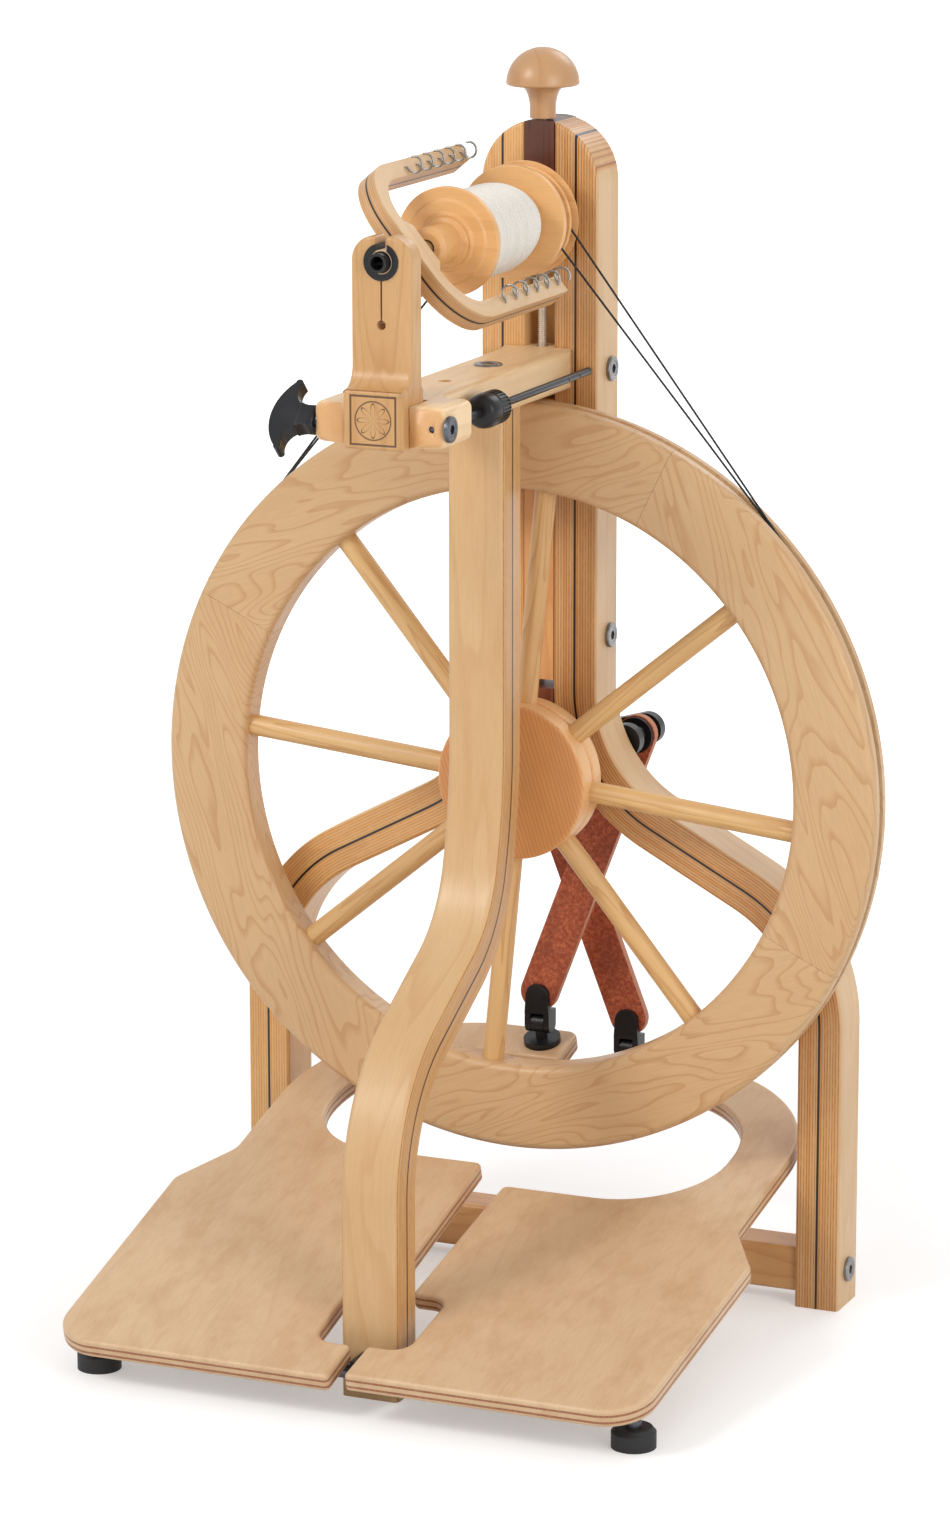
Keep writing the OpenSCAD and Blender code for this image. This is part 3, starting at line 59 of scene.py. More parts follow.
# places and sizes that several pieces share, in metres
WHEEL_Y = 0.05595           # front face of the rim
AXLE_Z = 0.346
FLYER_Z = 0.7085
UPRIGHT_TOP = 0.7685
SIDE_X = 0.04025            # outer side of the two uprights, and the radius of their arched top
LEG_DEEP = 0.0375
LEG_Y = 0.044 + LEG_DEEP / 2 + WHEEL_Y
BENT_EDGE = 0.0034          # rounding of the bent laminations
RIM_IN, RIM_OUT, RIM_DEEP = 0.1915, 0.2475, 0.025
HUB_R = 0.0515
BEAM_Z = 0.61               # clamp bolt, T handle and brake lie at this height
BEAM_BOLT_Y = 0.01735
CLAMP_Y = -0.1438
SCREW_Y = 0.05 + WHEEL_Y
STAMP_Z = 0.6145            # middle of the burned square
BOW_Y = -0.166              # front of the flyer's bow, from the rim's front face
FLYER_TURN = (0, -rad(130), 0)
ON_AXLE = (0, WHEEL_Y, AXLE_Z)
ON_FLYER = (0, WHEEL_Y, FLYER_Z)
NEAR = 1e-4                 # two places count as the same
LEVEL = 1e-5                # the same, closer, for level edges


def lin(r, g, b):
    """A colour written as it is seen, made linear."""
    def f(c):
        c /= 255.0
        return c / 12.92 if c <= 0.04045 else ((c + 0.055) / 1.055) ** 2.4
    return (f(r), f(g), f(b), 1.0)


# finishes
def set_in(tree, socket, v):
    """Links a socket to another node's output, or gives it a plain value."""
    if isinstance(v, bpy.types.NodeSocket):
        tree.links.new(v, socket)
    else:
        socket.default_value = v


def put(tree, kind, ins=None, **props):
    n = tree.nodes.new(kind)
    for k, v in props.items():
        setattr(n, k, v)
    for k, v in (ins or {}).items():
        set_in(tree, n.inputs[k], v)
    return n


def calc(tree, op, a, b=0.0, c=0.0):
    return put(tree, "ShaderNodeMath", {0: a, 1: b, 2: c}, operation=op).outputs[0]


def mul(tree, a, b):
    return calc(tree, "MULTIPLY", a, b)


def size_of(tree, a):
    return calc(tree, "ABSOLUTE", a)


def times(tree, v, by):
    return put(tree, "ShaderNodeVectorMath", {0: v, 1: by}, operation="MULTIPLY").outputs[0]


def parts_of(tree, v):
    return put(tree, "ShaderNodeSeparateXYZ", {0: v}).outputs


def blend(tree, fac, a, b, mode="MIX"):
    n = put(tree, "ShaderNodeMix", {0: fac, 6: a, 7: b}, data_type="RGBA", blend_type=mode)
    return n.outputs[2]


def spread(tree, v, a, b, c=0.0, d=1.0, kind="SMOOTHSTEP"):
    """Values from a to b become values from c to d."""
    n = put(tree, "ShaderNodeMapRange", {0: v, 1: a, 2: b, 3: c, 4: d}, interpolation_type=kind)
    return n.outputs[0]


def fade(tree, v, a, b):
    """One below a, none above b."""
    return spread(tree, v, a, b, 1.0, 0.0)


def noise(tree, v, scale=1.0, detail=2.0, rough=0.5, twist=0.0):
    ins = {"Vector": v, "Scale": scale, "Detail": detail, "Roughness": rough, "Distortion": twist}
    return put(tree, "ShaderNodeTexNoise", ins).outputs[0]


def object_place(tree):
    return put(tree, "ShaderNodeTexCoord").outputs["Object"]


def faces_front(tree):
    """How squarely a face looks to the front or to the back."""
    return size_of(tree, parts_of(tree, put(tree, "ShaderNodeNewGeometry").outputs["Normal"])[1])


def group(name, ins, outs):
    g = bpy.data.node_groups.new(name, "ShaderNodeTree")
    for n, kind, v in ins:
        s = g.interface.new_socket(n, in_out="INPUT", socket_type="NodeSocket" + kind)
        if v is not None:
            s.default_value = v
    for n in outs:
        g.interface.new_socket(n, in_out="OUTPUT", socket_type="NodeSocketFloat")
    return g, g.nodes.new("NodeGroupInput").outputs, g.nodes.new("NodeGroupOutput").inputs


def grain_group():
    """Year rings, slow changes of tone and fine fibres of sawn wood, along the first value of the vector."""
    ins = [("Vector", "Vector", None), ("Rings", "Float", 9.0), ("Stretch", "Float", 2.6),
           ("Even", "Float", 0.0)]
    g, i, o = group("Wood grain", ins, ["Lines", "Tone", "Fibre"])
    at = i["Vector"]
    run = put(g, "ShaderNodeCombineXYZ", {0: i["Stretch"], 1: 22.0, 2: 22.0}).outputs[0]
    big = noise(g, times(g, at, run), 1.0, 2.4, 0.42, 0.3)
    across = parts_of(g, at)[1]
    turn = calc(g, "FRACT", calc(g, "MULTIPLY_ADD", across, i["Even"], mul(g, big, i["Rings"])))
    late = spread(g, turn, 0.6, 0.96)
    fall = spread(g, turn, 0.96, 1.0, 1.0, 0.0, "LINEAR")
    slow = noise(g, times(g, at, (5.0, 14.0, 14.0)), 1.3, 3.0, 0.55)
    fine = noise(g, times(g, at, (70.0, 1500.0, 1500.0)), 1.0, 2.0, 0.6)
    g.links.new(mul(g, late, fall), o["Lines"])
    g.links.new(spread(g, slow, 0.3, 0.7), o["Tone"])
    g.links.new(spread(g, fine, 0.35, 0.75), o["Fibre"])
    return g


def plies_group():
    """Glue lines, a tone for each layer and the dark middle line of a bent lamination."""
    ins = [("Depth", "Float", 0.0), ("Pitch", "Float", 0.0019), ("Middle", "Float", 0.0005),
           ("Half", "Float", 0.015), ("Way", "Float", 0.0)]
    g, i, o = group("Laminated layers", ins, ["Glue", "Layer", "Middle line", "Pale"])
    k = calc(g, "ADD", calc(g, "DIVIDE", i["Depth"], i["Pitch"]), 50.5)
    off = size_of(g, calc(g, "SUBTRACT", calc(g, "FRACT", k), 0.5))
    deep = size_of(g, i["Depth"])
    within = fade(g, deep, calc(g, "SUBTRACT", i["Half"], 0.0016), calc(g, "SUBTRACT", i["Half"], 0.0006))
    dash = put(g, "ShaderNodeCombineXYZ", {0: mul(g, i["Way"], 220.0), 1: mul(g, k, 3.0)}).outputs[0]
    dash = spread(g, noise(g, dash), 0.3, 0.6, 0.35, 1.0)
    line = mul(g, fade(g, off, 0.05, 0.2), within)
    layer = calc(g, "FLOOR", calc(g, "ADD", k, 0.5))
    cell = put(g, "ShaderNodeTexWhiteNoise", {"W": layer}, noise_dimensions="1D").outputs[0]
    g.links.new(mul(g, line, dash), o["Glue"])
    g.links.new(mul(g, spread(g, cell, 0.2, 0.95, 0.4, 1.0), within), o["Layer"])
    g.links.new(fade(g, deep, i["Middle"], mul(g, i["Middle"], 1.4)), o["Middle line"])
    g.links.new(mul(g, spread(g, off, 0.3, 0.44), within), o["Pale"])
    return g


GRAIN = grain_group()
PLIES = plies_group()


def finish(name):
    m = bpy.data.materials.new(name)
    m.use_nodes = True
    t = m.node_tree
    t.nodes.clear()
    bsdf = put(t, "ShaderNodeBsdfPrincipled")
    t.links.new(bsdf.outputs[0], put(t, "ShaderNodeOutputMaterial").inputs[0])
    return m, t, bsdf


def feed(t, bsdf, **vals):
    for k, v in vals.items():
        set_in(t, bsdf.inputs[k.replace("_", " ")], v)


def bump(t, height, strength, distance):
    ins = {"Height": height, "Strength": strength, "Distance": distance}
    return put(t, "ShaderNodeBump", ins).outputs[0]


def grain_at(t):
    return put(t, "ShaderNodeAttribute", attribute_name="grain").outputs["Vector"]


def wood(name, base, late, rings=9.0, lines=0.55, seed=0.0, layers=None, stamp=False, rough=0.4, stretch=2.6,
         tone=0.35, even=0.0, side=None):
    """Clear finished wood whose grain runs along the first value of the piece's grain attribute."""
    m, t, bsdf = finish(name)
    at = grain_at(t)
    start = (seed, seed * 0.37, seed * 0.61)
    vec = put(t, "ShaderNodeVectorMath", {0: at, 1: start}, operation="ADD").outputs[0]
    ins = {"Vector": vec, "Rings": rings, "Stretch": stretch, "Even": even}
    g = put(t, "ShaderNodeGroup", ins, node_tree=GRAIN).outputs
    pores = (late[0] * 0.66, late[1] * 0.6, late[2] * 0.5, 1.0)
    col = blend(t, mul(t, g["Lines"], lines), base, late)
    col = blend(t, mul(t, g["Tone"], tone), col, late)
    col = blend(t, mul(t, g["Fibre"], 0.14), col, pores)
    high = calc(t, "ADD", mul(t, g["Fibre"], -0.5), mul(t, g["Lines"], -0.3))
    if layers:
        way = parts_of(t, at)
        pitch, middle, half = layers["sizes"]
        ins = {"Depth": way[1], "Way": way[0], "Pitch": pitch, "Middle": middle, "Half": half}
        p = put(t, "ShaderNodeGroup", ins, node_tree=PLIES).outputs
        col = blend(t, mul(t, p["Layer"], layers["vary"]), col, layers["tint"], "MULTIPLY")
        col = blend(t, mul(t, p["Pale"], layers["pale"]), col, base)
        col = blend(t, mul(t, p["Glue"], layers["glue"]), col, layers["line"])
        col = blend(t, p["Middle line"], col, layers["core"])
    if stamp:
        col = burned_square(t, col)
    if side:
        tint, on_edge, on_face = side
        col = blend(t, spread(t, faces_front(t), 0.5, 0.9, on_edge, on_face), col, tint)
    feed(t, bsdf, Base_Color=col, Coat_Weight=0.12, Coat_Roughness=0.3, Normal=bump(t, high, 0.10, 0.0004),
         Roughness=spread(t, g["Tone"], 0.0, 1.0, rough - 0.05, rough + 0.08, "LINEAR"))
    return m


def burned_square(t, col):
    """A plain burned square with a simple eight part rosette on the front of the base block."""
    inner, outer, soft = 0.0142, 0.0153, 0.0002
    leaf_long, leaf_end, ring_r, line = 0.0104, 0.0114, 0.0117, 0.0003
    front_y = WHEEL_Y - 0.2128
    at = parts_of(t, object_place(t))
    x, z = at[0], calc(t, "SUBTRACT", at[2], STAMP_Z)
    square = calc(t, "MAXIMUM", size_of(t, x), size_of(t, z))
    edge = mul(t, spread(t, square, inner - soft, inner), fade(t, square, outer, outer + soft))
    r = calc(t, "SQRT", calc(t, "ADD", mul(t, x, x), mul(t, z, z)))
    wave = size_of(t, calc(t, "COSINE", mul(t, calc(t, "ARCTAN2", z, x), 4.0)))
    off = size_of(t, calc(t, "SUBTRACT", r, mul(t, wave, leaf_long)))
    leaf = mul(t, fade(t, off, line, 0.0007), fade(t, r, leaf_end, leaf_end + 0.0001))
    ring = fade(t, size_of(t, calc(t, "SUBTRACT", r, ring_r)), line, 0.0006)
    front = fade(t, at[1], front_y, front_y + 0.0003)
    mask = calc(t, "MAXIMUM", calc(t, "MAXIMUM", edge, ring), leaf)
    return blend(t, mul(t, mul(t, mask, front), 0.85), col, lin(70, 38, 22))


def plywood(name):
    """Birch plywood: a clouded face, and two dark cross layers on the edge."""
    cross_layers, soft = ((0.0026, 0.0046), (0.0070, 0.0089)), 0.0004
    late = lin(194, 152, 110)
    m, t, bsdf = finish(name)
    at = grain_at(t)
    g = put(t, "ShaderNodeGroup", {"Vector": at, "Rings": 7.0}, node_tree=GRAIN).outputs
    col = blend(t, mul(t, g["Lines"], 0.2), lin(216, 183, 144), late)
    cloud = noise(t, times(t, at, (0.6, 1.0, 1.0)), 46.0, 5.0, 0.66)
    col = blend(t, mul(t, spread(t, cloud, 0.4, 0.72), 0.55), col, late)
    col = blend(t, mul(t, g["Fibre"], 0.2), col, lin(168, 114, 70))
    waver = mul(t, calc(t, "SUBTRACT", noise(t, at, 30.0), 0.5), 0.0006)
    depth = calc(t, "ADD", parts_of(t, at)[1], waver)
    dark = 0.0
    for low, high in cross_layers:
        band = mul(t, spread(t, depth, low, low + soft), fade(t, depth, high - soft, high))
        dark = calc(t, "MAXIMUM", dark, band)
    end = noise(t, times(t, at, (900.0, 300.0, 900.0)))
    col = blend(t, mul(t, dark, spread(t, end, 0.2, 0.8, 0.75, 1.0)), col, lin(146, 82, 46))
    height = mul(t, calc(t, "ADD", mul(t, g["Fibre"], 0.5), dark), -1.0)
    feed(t, bsdf, Base_Color=col, Roughness=spread(t, cloud, 0.3, 0.7, 0.38, 0.5, "LINEAR"),
         Normal=bump(t, height, 0.1, 0.0004), Coat_Weight=0.1, Coat_Roughness=0.3)
    return m


def fibre_board(name):
    """Pressed brown fibre with a pale worn line along the middle of its edge."""
    m, t, bsdf = finish(name)
    at = grain_at(t)
    spot = noise(t, at, 420.0, 4.0, 0.7)
    wide = noise(t, at, 45.0, 3.0)
    col = blend(t, spread(t, spot, 0.35, 0.7), lin(158, 72, 44), lin(210, 118, 80))
    col = blend(t, mul(t, spread(t, wide, 0.4, 0.7), 0.4), col, lin(120, 58, 42))
    mid = fade(t, size_of(t, parts_of(t, at)[1]), 0.0024, 0.0031)
    edge = fade(t, faces_front(t), 0.3, 0.6)
    col = blend(t, mul(t, mul(t, mid, edge), 0.75), col, lin(206, 146, 112))
    feed(t, bsdf, Base_Color=col, Roughness=0.62, Normal=bump(t, spot, 0.25, 0.0005))
    return m


def plain(name, col, rough, metallic=0.0, scale=900.0, strength=0.05, vary=0.25, shine=0.5):
    """Moulded plastic, rubber or metal with a fine uneven surface."""
    m, t, bsdf = finish(name)
    at = object_place(t)
    fine = noise(t, at, scale, 3.0, 0.6)
    tint = tuple(min(1.0, c * (1 + vary) + 0.004 * (1 - metallic)) for c in col[:3]) + (1.0,)
    feed(t, bsdf, Base_Color=blend(t, spread(t, noise(t, at, 60.0), 0.35, 0.7), col, tint),
         Roughness=spread(t, fine, 0.3, 0.7, rough - 0.06, rough + 0.08, "LINEAR"),
         Normal=bump(t, fine, strength, 0.0003), Metallic=metallic, Specular_IOR_Level=shine)
    return m


def twisted(name, winds, dark, pale, fuzz, rough, sheen, height):
    """Twisted cord or yarn, whose plies wind round its own length; the grooves between the plies are painted
    darker, as painted shade.
    """
    m, t, bsdf = finish(name)
    at = parts_of(t, grain_at(t))
    wind = calc(t, "ADD", mul(t, at[0], winds), mul(t, at[1], 2.0))
    ply_ridges_bump_and_painted_shade = size_of(t, calc(t, "SINE", wind))
    hair = noise(t, object_place(t), 1600.0, 4.0, 0.7)
    thick = noise(t, at[2], 40.0)
    mix = blend(t, fuzz, ply_ridges_bump_and_painted_shade, spread(t, hair, 0.3, 0.7))
    # Painted shade: the dark colour in the grooves between plies, the pale one on their ridges, mixed with
    # random hairs on the wool.
    col = blend(t, mix, dark, pale)
    col = blend(t, mul(t, spread(t, thick, 0.4, 0.7), 0.2 * fuzz), col, dark)
    feed(t, bsdf, Base_Color=col, Roughness=rough, Sheen_Weight=sheen, Sheen_Roughness=0.5,
         Normal=bump(t, calc(t, "ADD", ply_ridges_bump_and_painted_shade, mul(t, hair, fuzz)), height, 0.0004))
    return m


MAPLE, MAPLE_LATE = lin(216, 179, 131), lin(194, 147, 95)
leg_layers = dict(sizes=(0.0019, 0.0007, 0.015), vary=0.95, tint=lin(245, 200, 128), glue=0.75, pale=0.35,
                  line=lin(140, 80, 38), core=lin(30, 16, 10))
left_leg_layers = dict(leg_layers, vary=0.6, tint=lin(252, 212, 140), glue=0.45)
post_layers = dict(leg_layers, vary=0.7, tint=lin(252, 215, 140), glue=0.8, line=lin(150, 92, 46))
flyer_layers = dict(sizes=(0.0016, 0.0006, 0.0075), vary=0.6, tint=lin(230, 182, 122), glue=0.55, pale=0.3,
                    line=lin(164, 102, 54), core=lin(40, 21, 13))
FINISHES = {
    "post": wood("post maple", MAPLE, MAPLE_LATE, 7.0, 0.35, 0.0, post_layers),
    "leg": wood("leg maple", MAPLE, MAPLE_LATE, 7.0, 0.3, 3.1, leg_layers),
    "left_leg": wood("left leg maple", lin(236, 192, 132), MAPLE_LATE, 7.0, 0.3, 3.1, left_leg_layers),
    "bow": wood("flyer maple", MAPLE, MAPLE_LATE, 7.0, 0.3, 5.7, flyer_layers),
    "rim": wood("rim maple", lin(211, 173, 127), lin(182, 130, 80), 24.0, 0.5, 1.3, tone=0.16, stretch=4.6),
    "turned": wood("turned maple", lin(236, 184, 122), lin(208, 150, 88), 6.0, 0.35, 4.4),
    "knob": wood("knob maple", lin(198, 152, 106), lin(178, 128, 82), 6.0, 0.35, 4.9, rough=0.34),
    # Paler than the other maple: painted light from above on the beam. Its faces to the front and back,
    # across the grain, are tinted more orange.
    "beam": wood("beam maple painted lighter", lin(248, 216, 170), lin(222, 180, 128), 8.0, 0.4, 2.7,
                 side=(lin(214, 156, 96), 0.0, 0.8)),
    "hub": wood("hub maple", lin(228, 162, 98), lin(186, 116, 60), 2.6, 0.6, 6.5, even=385.0,
                side=(lin(236, 190, 134), 0.75, 0.0)),
    "block": wood("block maple", lin(212, 160, 104), lin(184, 124, 70), 9.0, 0.5, 5.2),
    "strip": wood("slot strip maple", lin(226, 168, 104), lin(196, 128, 68), 6.0, 0.4, 2.9),
    # A paler copy of the slot strip maple: painted light on the strip at the back of the slot, which lies in
    # deep shade.
    "slot_back_painted_light": wood("slot back maple painted lighter", lin(255, 216, 150), lin(238, 184, 112), 6.0, 0.4, 2.9),
    "axle_block": wood("axle block wood", lin(140, 78, 48), lin(96, 48, 30), 9.0, 0.6, 3.7),
    "maiden": wood("maiden maple", lin(207, 162, 108), lin(184, 132, 78), 11.0, 0.5, 8.8, stamp=True),
    "walnut": wood("walnut", lin(96, 52, 34), lin(50, 25, 17), 9.0, 0.7, 7.7, rough=0.36),
    "spoke": wood("spoke maple", lin(224, 182, 122), lin(186, 130, 74), 9.0, 0.55, 9.1, stretch=4.0),
    "ply": plywood("birch plywood"),
    "fibre": fibre_board("pressed fibre board"),
    "plastic": plain("black plastic", lin(24, 24, 26), 0.34, shine=0.3),
    "gloss": plain("glossy black plastic", lin(18, 19, 22), 0.22, strength=0.02, shine=0.35),
    "iron": plain("dark steel", lin(86, 88, 95), 0.34, 0.85, 700.0),
    "bolt": plain("bolt steel", lin(126, 124, 124), 0.3, 0.9, 700.0),
    "black_rod": plain("black rod", lin(38, 39, 43), 0.34, 0.5, 700.0),
    "steel": plain("bright steel", lin(186, 184, 180), 0.26, 1.0, 500.0, 0.03, 0.1),
    "wire": plain("hook wire", lin(150, 147, 142), 0.3, 1.0, 500.0, 0.03, 0.1),
    "zinc": plain("zinc rod", lin(216, 206, 192), 0.42, 0.6, 500.0, 0.03, 0.1),
    "cream": plain("cream nylon", lin(214, 186, 150), 0.45),
    "rubber": plain("rubber", lin(25, 25, 26), 0.6, strength=0.15),
    # For cord and wool the first colour is painted shade in the grooves between plies, and on the wool also
    # random darker strands.
    "cord": twisted("black cord", 2300.0, lin(11, 10, 10), lin(26, 24, 24), 0.0, 0.7, 0.0, 0.4),
    "wool": twisted("wool yarn", 1500.0, lin(227, 218, 205), lin(251, 247, 240), 0.8, 0.85, 0.3, 0.4)
}


# hand tools
def begin():
    if bpy.context.object and bpy.context.object.mode != "OBJECT":
        bpy.ops.object.mode_set(mode="OBJECT")
    bpy.ops.object.select_all(action="DESELECT")


def take(o):
    """Puts everything else down and takes up one piece."""
    begin()
    o.select_set(True)
    bpy.context.view_layer.objects.active = o


def shape(o):
    """Starts to work on all of a piece in edit mode."""
    take(o)
    bpy.ops.object.transform_apply(location=True, rotation=True, scale=True)
    bpy.ops.object.mode_set(mode="EDIT")
    bpy.ops.mesh.select_mode(type="VERT")
    bpy.ops.mesh.select_all(action="SELECT")
    return o


def flat_start(loc, size, rot=(0, 0, 0)):
    """A flat section at its place and size, from which a piece is drawn."""
    begin()
    bpy.ops.mesh.primitive_plane_add(size=1, location=loc, rotation=rot)
    o = bpy.context.object
    o.scale = (size[0], size[1], 1)
    return shape(o)


def round_start(loc, r, n, rot=(0, 0, 0)):
    begin()
    bpy.ops.mesh.primitive_circle_add(vertices=n, radius=r, fill_type="NGON", location=loc, rotation=rot)
    return shape(bpy.context.object)


def rod_start(loc, r, length, n, rot=(0, 0, 0)):
    begin()
    bpy.ops.mesh.primitive_cylinder_add(vertices=n, radius=r, depth=length, location=loc, rotation=rot)
    return shape(bpy.context.object)


def mark(kind, test):
    """Selects the verts, edges or faces of the piece at hand that pass the test."""
    me = bpy.context.object.data
    bpy.ops.mesh.select_mode(type={"verts": "VERT", "edges": "EDGE", "faces": "FACE"}[kind])
    bpy.ops.mesh.select_all(action="DESELECT")
    bm = bmesh.from_edit_mesh(me)
    bm.normal_update()
    hits = [e for e in getattr(bm, kind) if test(e)]
    for e in hits:
        e.select_set(True)
    bm.select_flush_mode()
    bmesh.update_edit_mesh(me)
    return len(hits)


def move(x, y, z):
    bpy.ops.transform.translate(value=(x, y, z))


def draw(steps):
    """Draws the selected end on: a vector goes straight, (centre, axis, degrees, count) bends."""
    for s in steps:
        if len(s) == 3:
            bpy.ops.mesh.extrude_region_move(TRANSFORM_OT_translate={"value": s})
        else:
            bpy.ops.mesh.spin(steps=s[3], angle=-rad(s[2]), center=s[0], axis=s[1])


def path_of(start, steps):
    """The middle line that the steps follow."""
    out = [Vector(start)]
    for s in steps:
        p = out[-1]
        if len(s) == 3:
            out.append(p + Vector(s))
        else:
            c, axis, angle, count = Vector(s[0]), Vector(s[1]), s[2], s[3]
            for k in range(1, count + 1):
                out.append(c + Matrix.Rotation(rad(angle * k / count), 3, axis) @ (p - c))
    return out


def along_path(path, side):
    """Grain of a bent bar: way along it, depth through its bend, place across its side."""
    side = Vector(side)
    runs = []
    s = 0.0
    for a, b in zip(path, path[1:]):
        d = b - a
        if d.length > 1e-7:
            runs.append((a, d.normalized(), d.length, s))
            s += d.length

    def f(p):
        best = None
        for a, d, n, s0 in runs:
            t = min(max((p - a).dot(d), 0.0), n)
            off = p - a - d * t
            off -= side * off.dot(side)
            if best is None or off.length_squared < best[0]:
                best = (off.length_squared, s0 + t, off.dot(side.cross(d)), (p - a).dot(side))
        return best[1:]
    return f


def close_up(merge=1e-6):
    bpy.ops.mesh.select_all(action="SELECT")
    bpy.ops.mesh.remove_doubles(threshold=merge)
    bpy.ops.mesh.normals_make_consistent(inside=False)


def sharp(e, least=40.0):
    return len(e.link_faces) == 2 and e.calc_face_angle(0.0) > rad(least)


def ease(width, pick=None, count=4, least=40.0, hold=True):
    """Rounds the sharp edges whose two ends pass the test."""
    if mark("edges", lambda e: sharp(e, least) and (pick is None or pick(e.verts[0].co, e.verts[1].co))):
        bpy.ops.mesh.bevel(offset=width, offset_type="OFFSET", segments=count, profile=0.5, affect="EDGES",
                           clamp_overlap=hold)


def turned(prof, spot, axis, count, ring=False):
    """Draws a profile of (radius, way along) points and spins it round the axis through the spot."""
    spot = Vector(spot)
    way = Vector({"Y": (0, 1, 0), "Z": (0, 0, 1)}[axis])
    at = [spot + (Vector((r, 0, 0)) + way * along) for r, along in prof]
    o = flat_start(at[0], (0.001, 0.001))
    bpy.ops.mesh.merge(type="CENTER")
    for a, b in zip(at, at[1:]):
        bpy.ops.mesh.extrude_region_move(TRANSFORM_OT_translate={"value": b - a})
    bpy.ops.mesh.select_all(action="SELECT")
    if ring:
        mark("verts", lambda v: len(v.link_edges) == 1)
        bpy.ops.mesh.edge_face_add()
        bpy.ops.mesh.select_all(action="SELECT")
    bpy.ops.mesh.spin(steps=count, angle=2 * pi, center=spot, axis=way)
    close_up()
    return o


def lay(o, f):
    """Writes the grain: way along it, depth through the layers, place across."""
    a = o.data.attributes.new("grain", "FLOAT_VECTOR", "POINT")
    for i, v in enumerate(o.data.vertices):
        a.data[i].vector = f(v.co)


def done(o, name, mat, body, node=None, smooth=35.0, grain=None):
    """Names and finishes a piece, hangs it on the body it rides and hides the solids it stands for."""
    take(o)
    o.name = o.data.name = name
    o.data.materials.clear()
    o.data.materials.append(FINISHES[mat])
    bpy.ops.object.shade_smooth_by_angle(angle=rad(smooth))
    even = o.modifiers.new("even", "WEIGHTED_NORMAL")
    even.keep_sharp = True
    bpy.ops.object.modifier_apply(modifier="even")
    if grain:
        lay(o, grain)
    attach(o, body)
    if node:
        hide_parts(*([node] if isinstance(node, str) else node))
    return o


def set_at(o, loc, rot=(0, 0, 0)):
    """Moves a shape to its place, which goes into its mesh."""
    take(o)
    o.location, o.rotation_euler = loc, rot
    bpy.ops.object.transform_apply(location=True, rotation=True, scale=True)
    return o


def another(o, loc=(0, 0, 0), rot=(0, 0, 0)):
    """A copy with its own mesh, set in its place."""
    take(o)
    bpy.ops.object.duplicate()
    return set_at(bpy.context.object, loc, rot)


def together(pieces):
    take(pieces[0])
    for p in pieces:
        p.select_set(True)
    bpy.ops.object.join()
    return bpy.context.object


def eased(node, mat, width, body, grain=None, pick=None, count=3, name=None, smooth=35.0,
          corner=None, resize=None):
    """A copy of a solid with its edges rounded by hand; resize is (which verts, by how much, from where)."""
    take(nodes[node])
    bpy.ops.object.duplicate()
    o = bpy.context.object
    for k in [k for k in o.keys() if k.startswith("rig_")]:
        del o[k]
    bpy.ops.object.parent_clear(type="CLEAR_KEEP_TRANSFORM")
    shape(o)
    bpy.ops.mesh.remove_doubles(threshold=2e-6)
    if resize:
        mark("verts", resize[0])
        bpy.ops.transform.resize(value=resize[1], center_override=resize[2])
        bpy.ops.mesh.select_all(action="SELECT")
    bpy.ops.mesh.dissolve_limited(angle_limit=rad(0.6))
    bpy.ops.mesh.normals_make_consistent(inside=False)
    if corner:
        ease(*corner)
    if width:
        ease(width, pick, count)
    mark("faces", lambda g: len(g.verts) > 4)
    bpy.ops.mesh.quads_convert_to_tris(ngon_method="BEAUTY")
    return done(o, name or node + "_eased", mat, body, node, smooth, grain)


def along_x(p):
    return (p.x, p.y, p.z)


def along_y(p):
    return (p.y, p.x, p.z)


def along_z(p):
    return (p.z, p.x, p.y)


def round_y(a, b):
    """Edges that run round a piece turned on the y axis."""
    return abs(a.y - b.y) < LEVEL


# bent frame
def front_post():
    """Straight down from the beam, out in two bends and down again at the foot."""
    mid, top, wide, deep = WHEEL_Y - 0.0446, 0.5972, 0.0385, 0.030
    bend_z, a1, a2, r1, r2, r3, foot = 0.383, 16, 62, 0.3, 0.09, 0.1, 0.1675
    c1, s1, c2, s2 = cos(rad(a1)), sin(rad(a1)), cos(rad(a2)), sin(rad(a2))
    x_axis = (1, 0, 0)

    def at(p, q):
        return (0, mid - p, q)
    p1, q1 = r1 * (1 - c1), bend_z - r1 * s1
    p2, q2 = p1 + r2 * (c1 - c2), q1 - r2 * (s2 - s1)
    p3 = foot - r3 * (1 - c2)
    q3 = q2 - (p3 - p2) / math.tan(rad(a2))
    steps = [(0, 0, bend_z - top),
             (at(r1, bend_z), x_axis, -a1, 8),
             (at(p1 + r2 * c1, q1 + r2 * s1), x_axis, a1 - a2, 18),
             (0, p2 - p3, q3 - q2),
             (at(p3 - r3 * c2, q3 - r3 * s2), x_axis, a2, 24),
             (0, 0, r3 * s2 - q3)]
    o = flat_start((0, mid, top), (wide, deep))
    draw(steps)
    close_up()
    ease(BENT_EDGE, lambda a, b: abs(a.x - b.x) < NEAR and not abs(a.z - b.z) < 1e-6)
    done(o, "front_post_bar", "post", "frame", "front_post", 30.0,
         along_path(path_of((0, mid, top), steps), x_axis))


front_post()


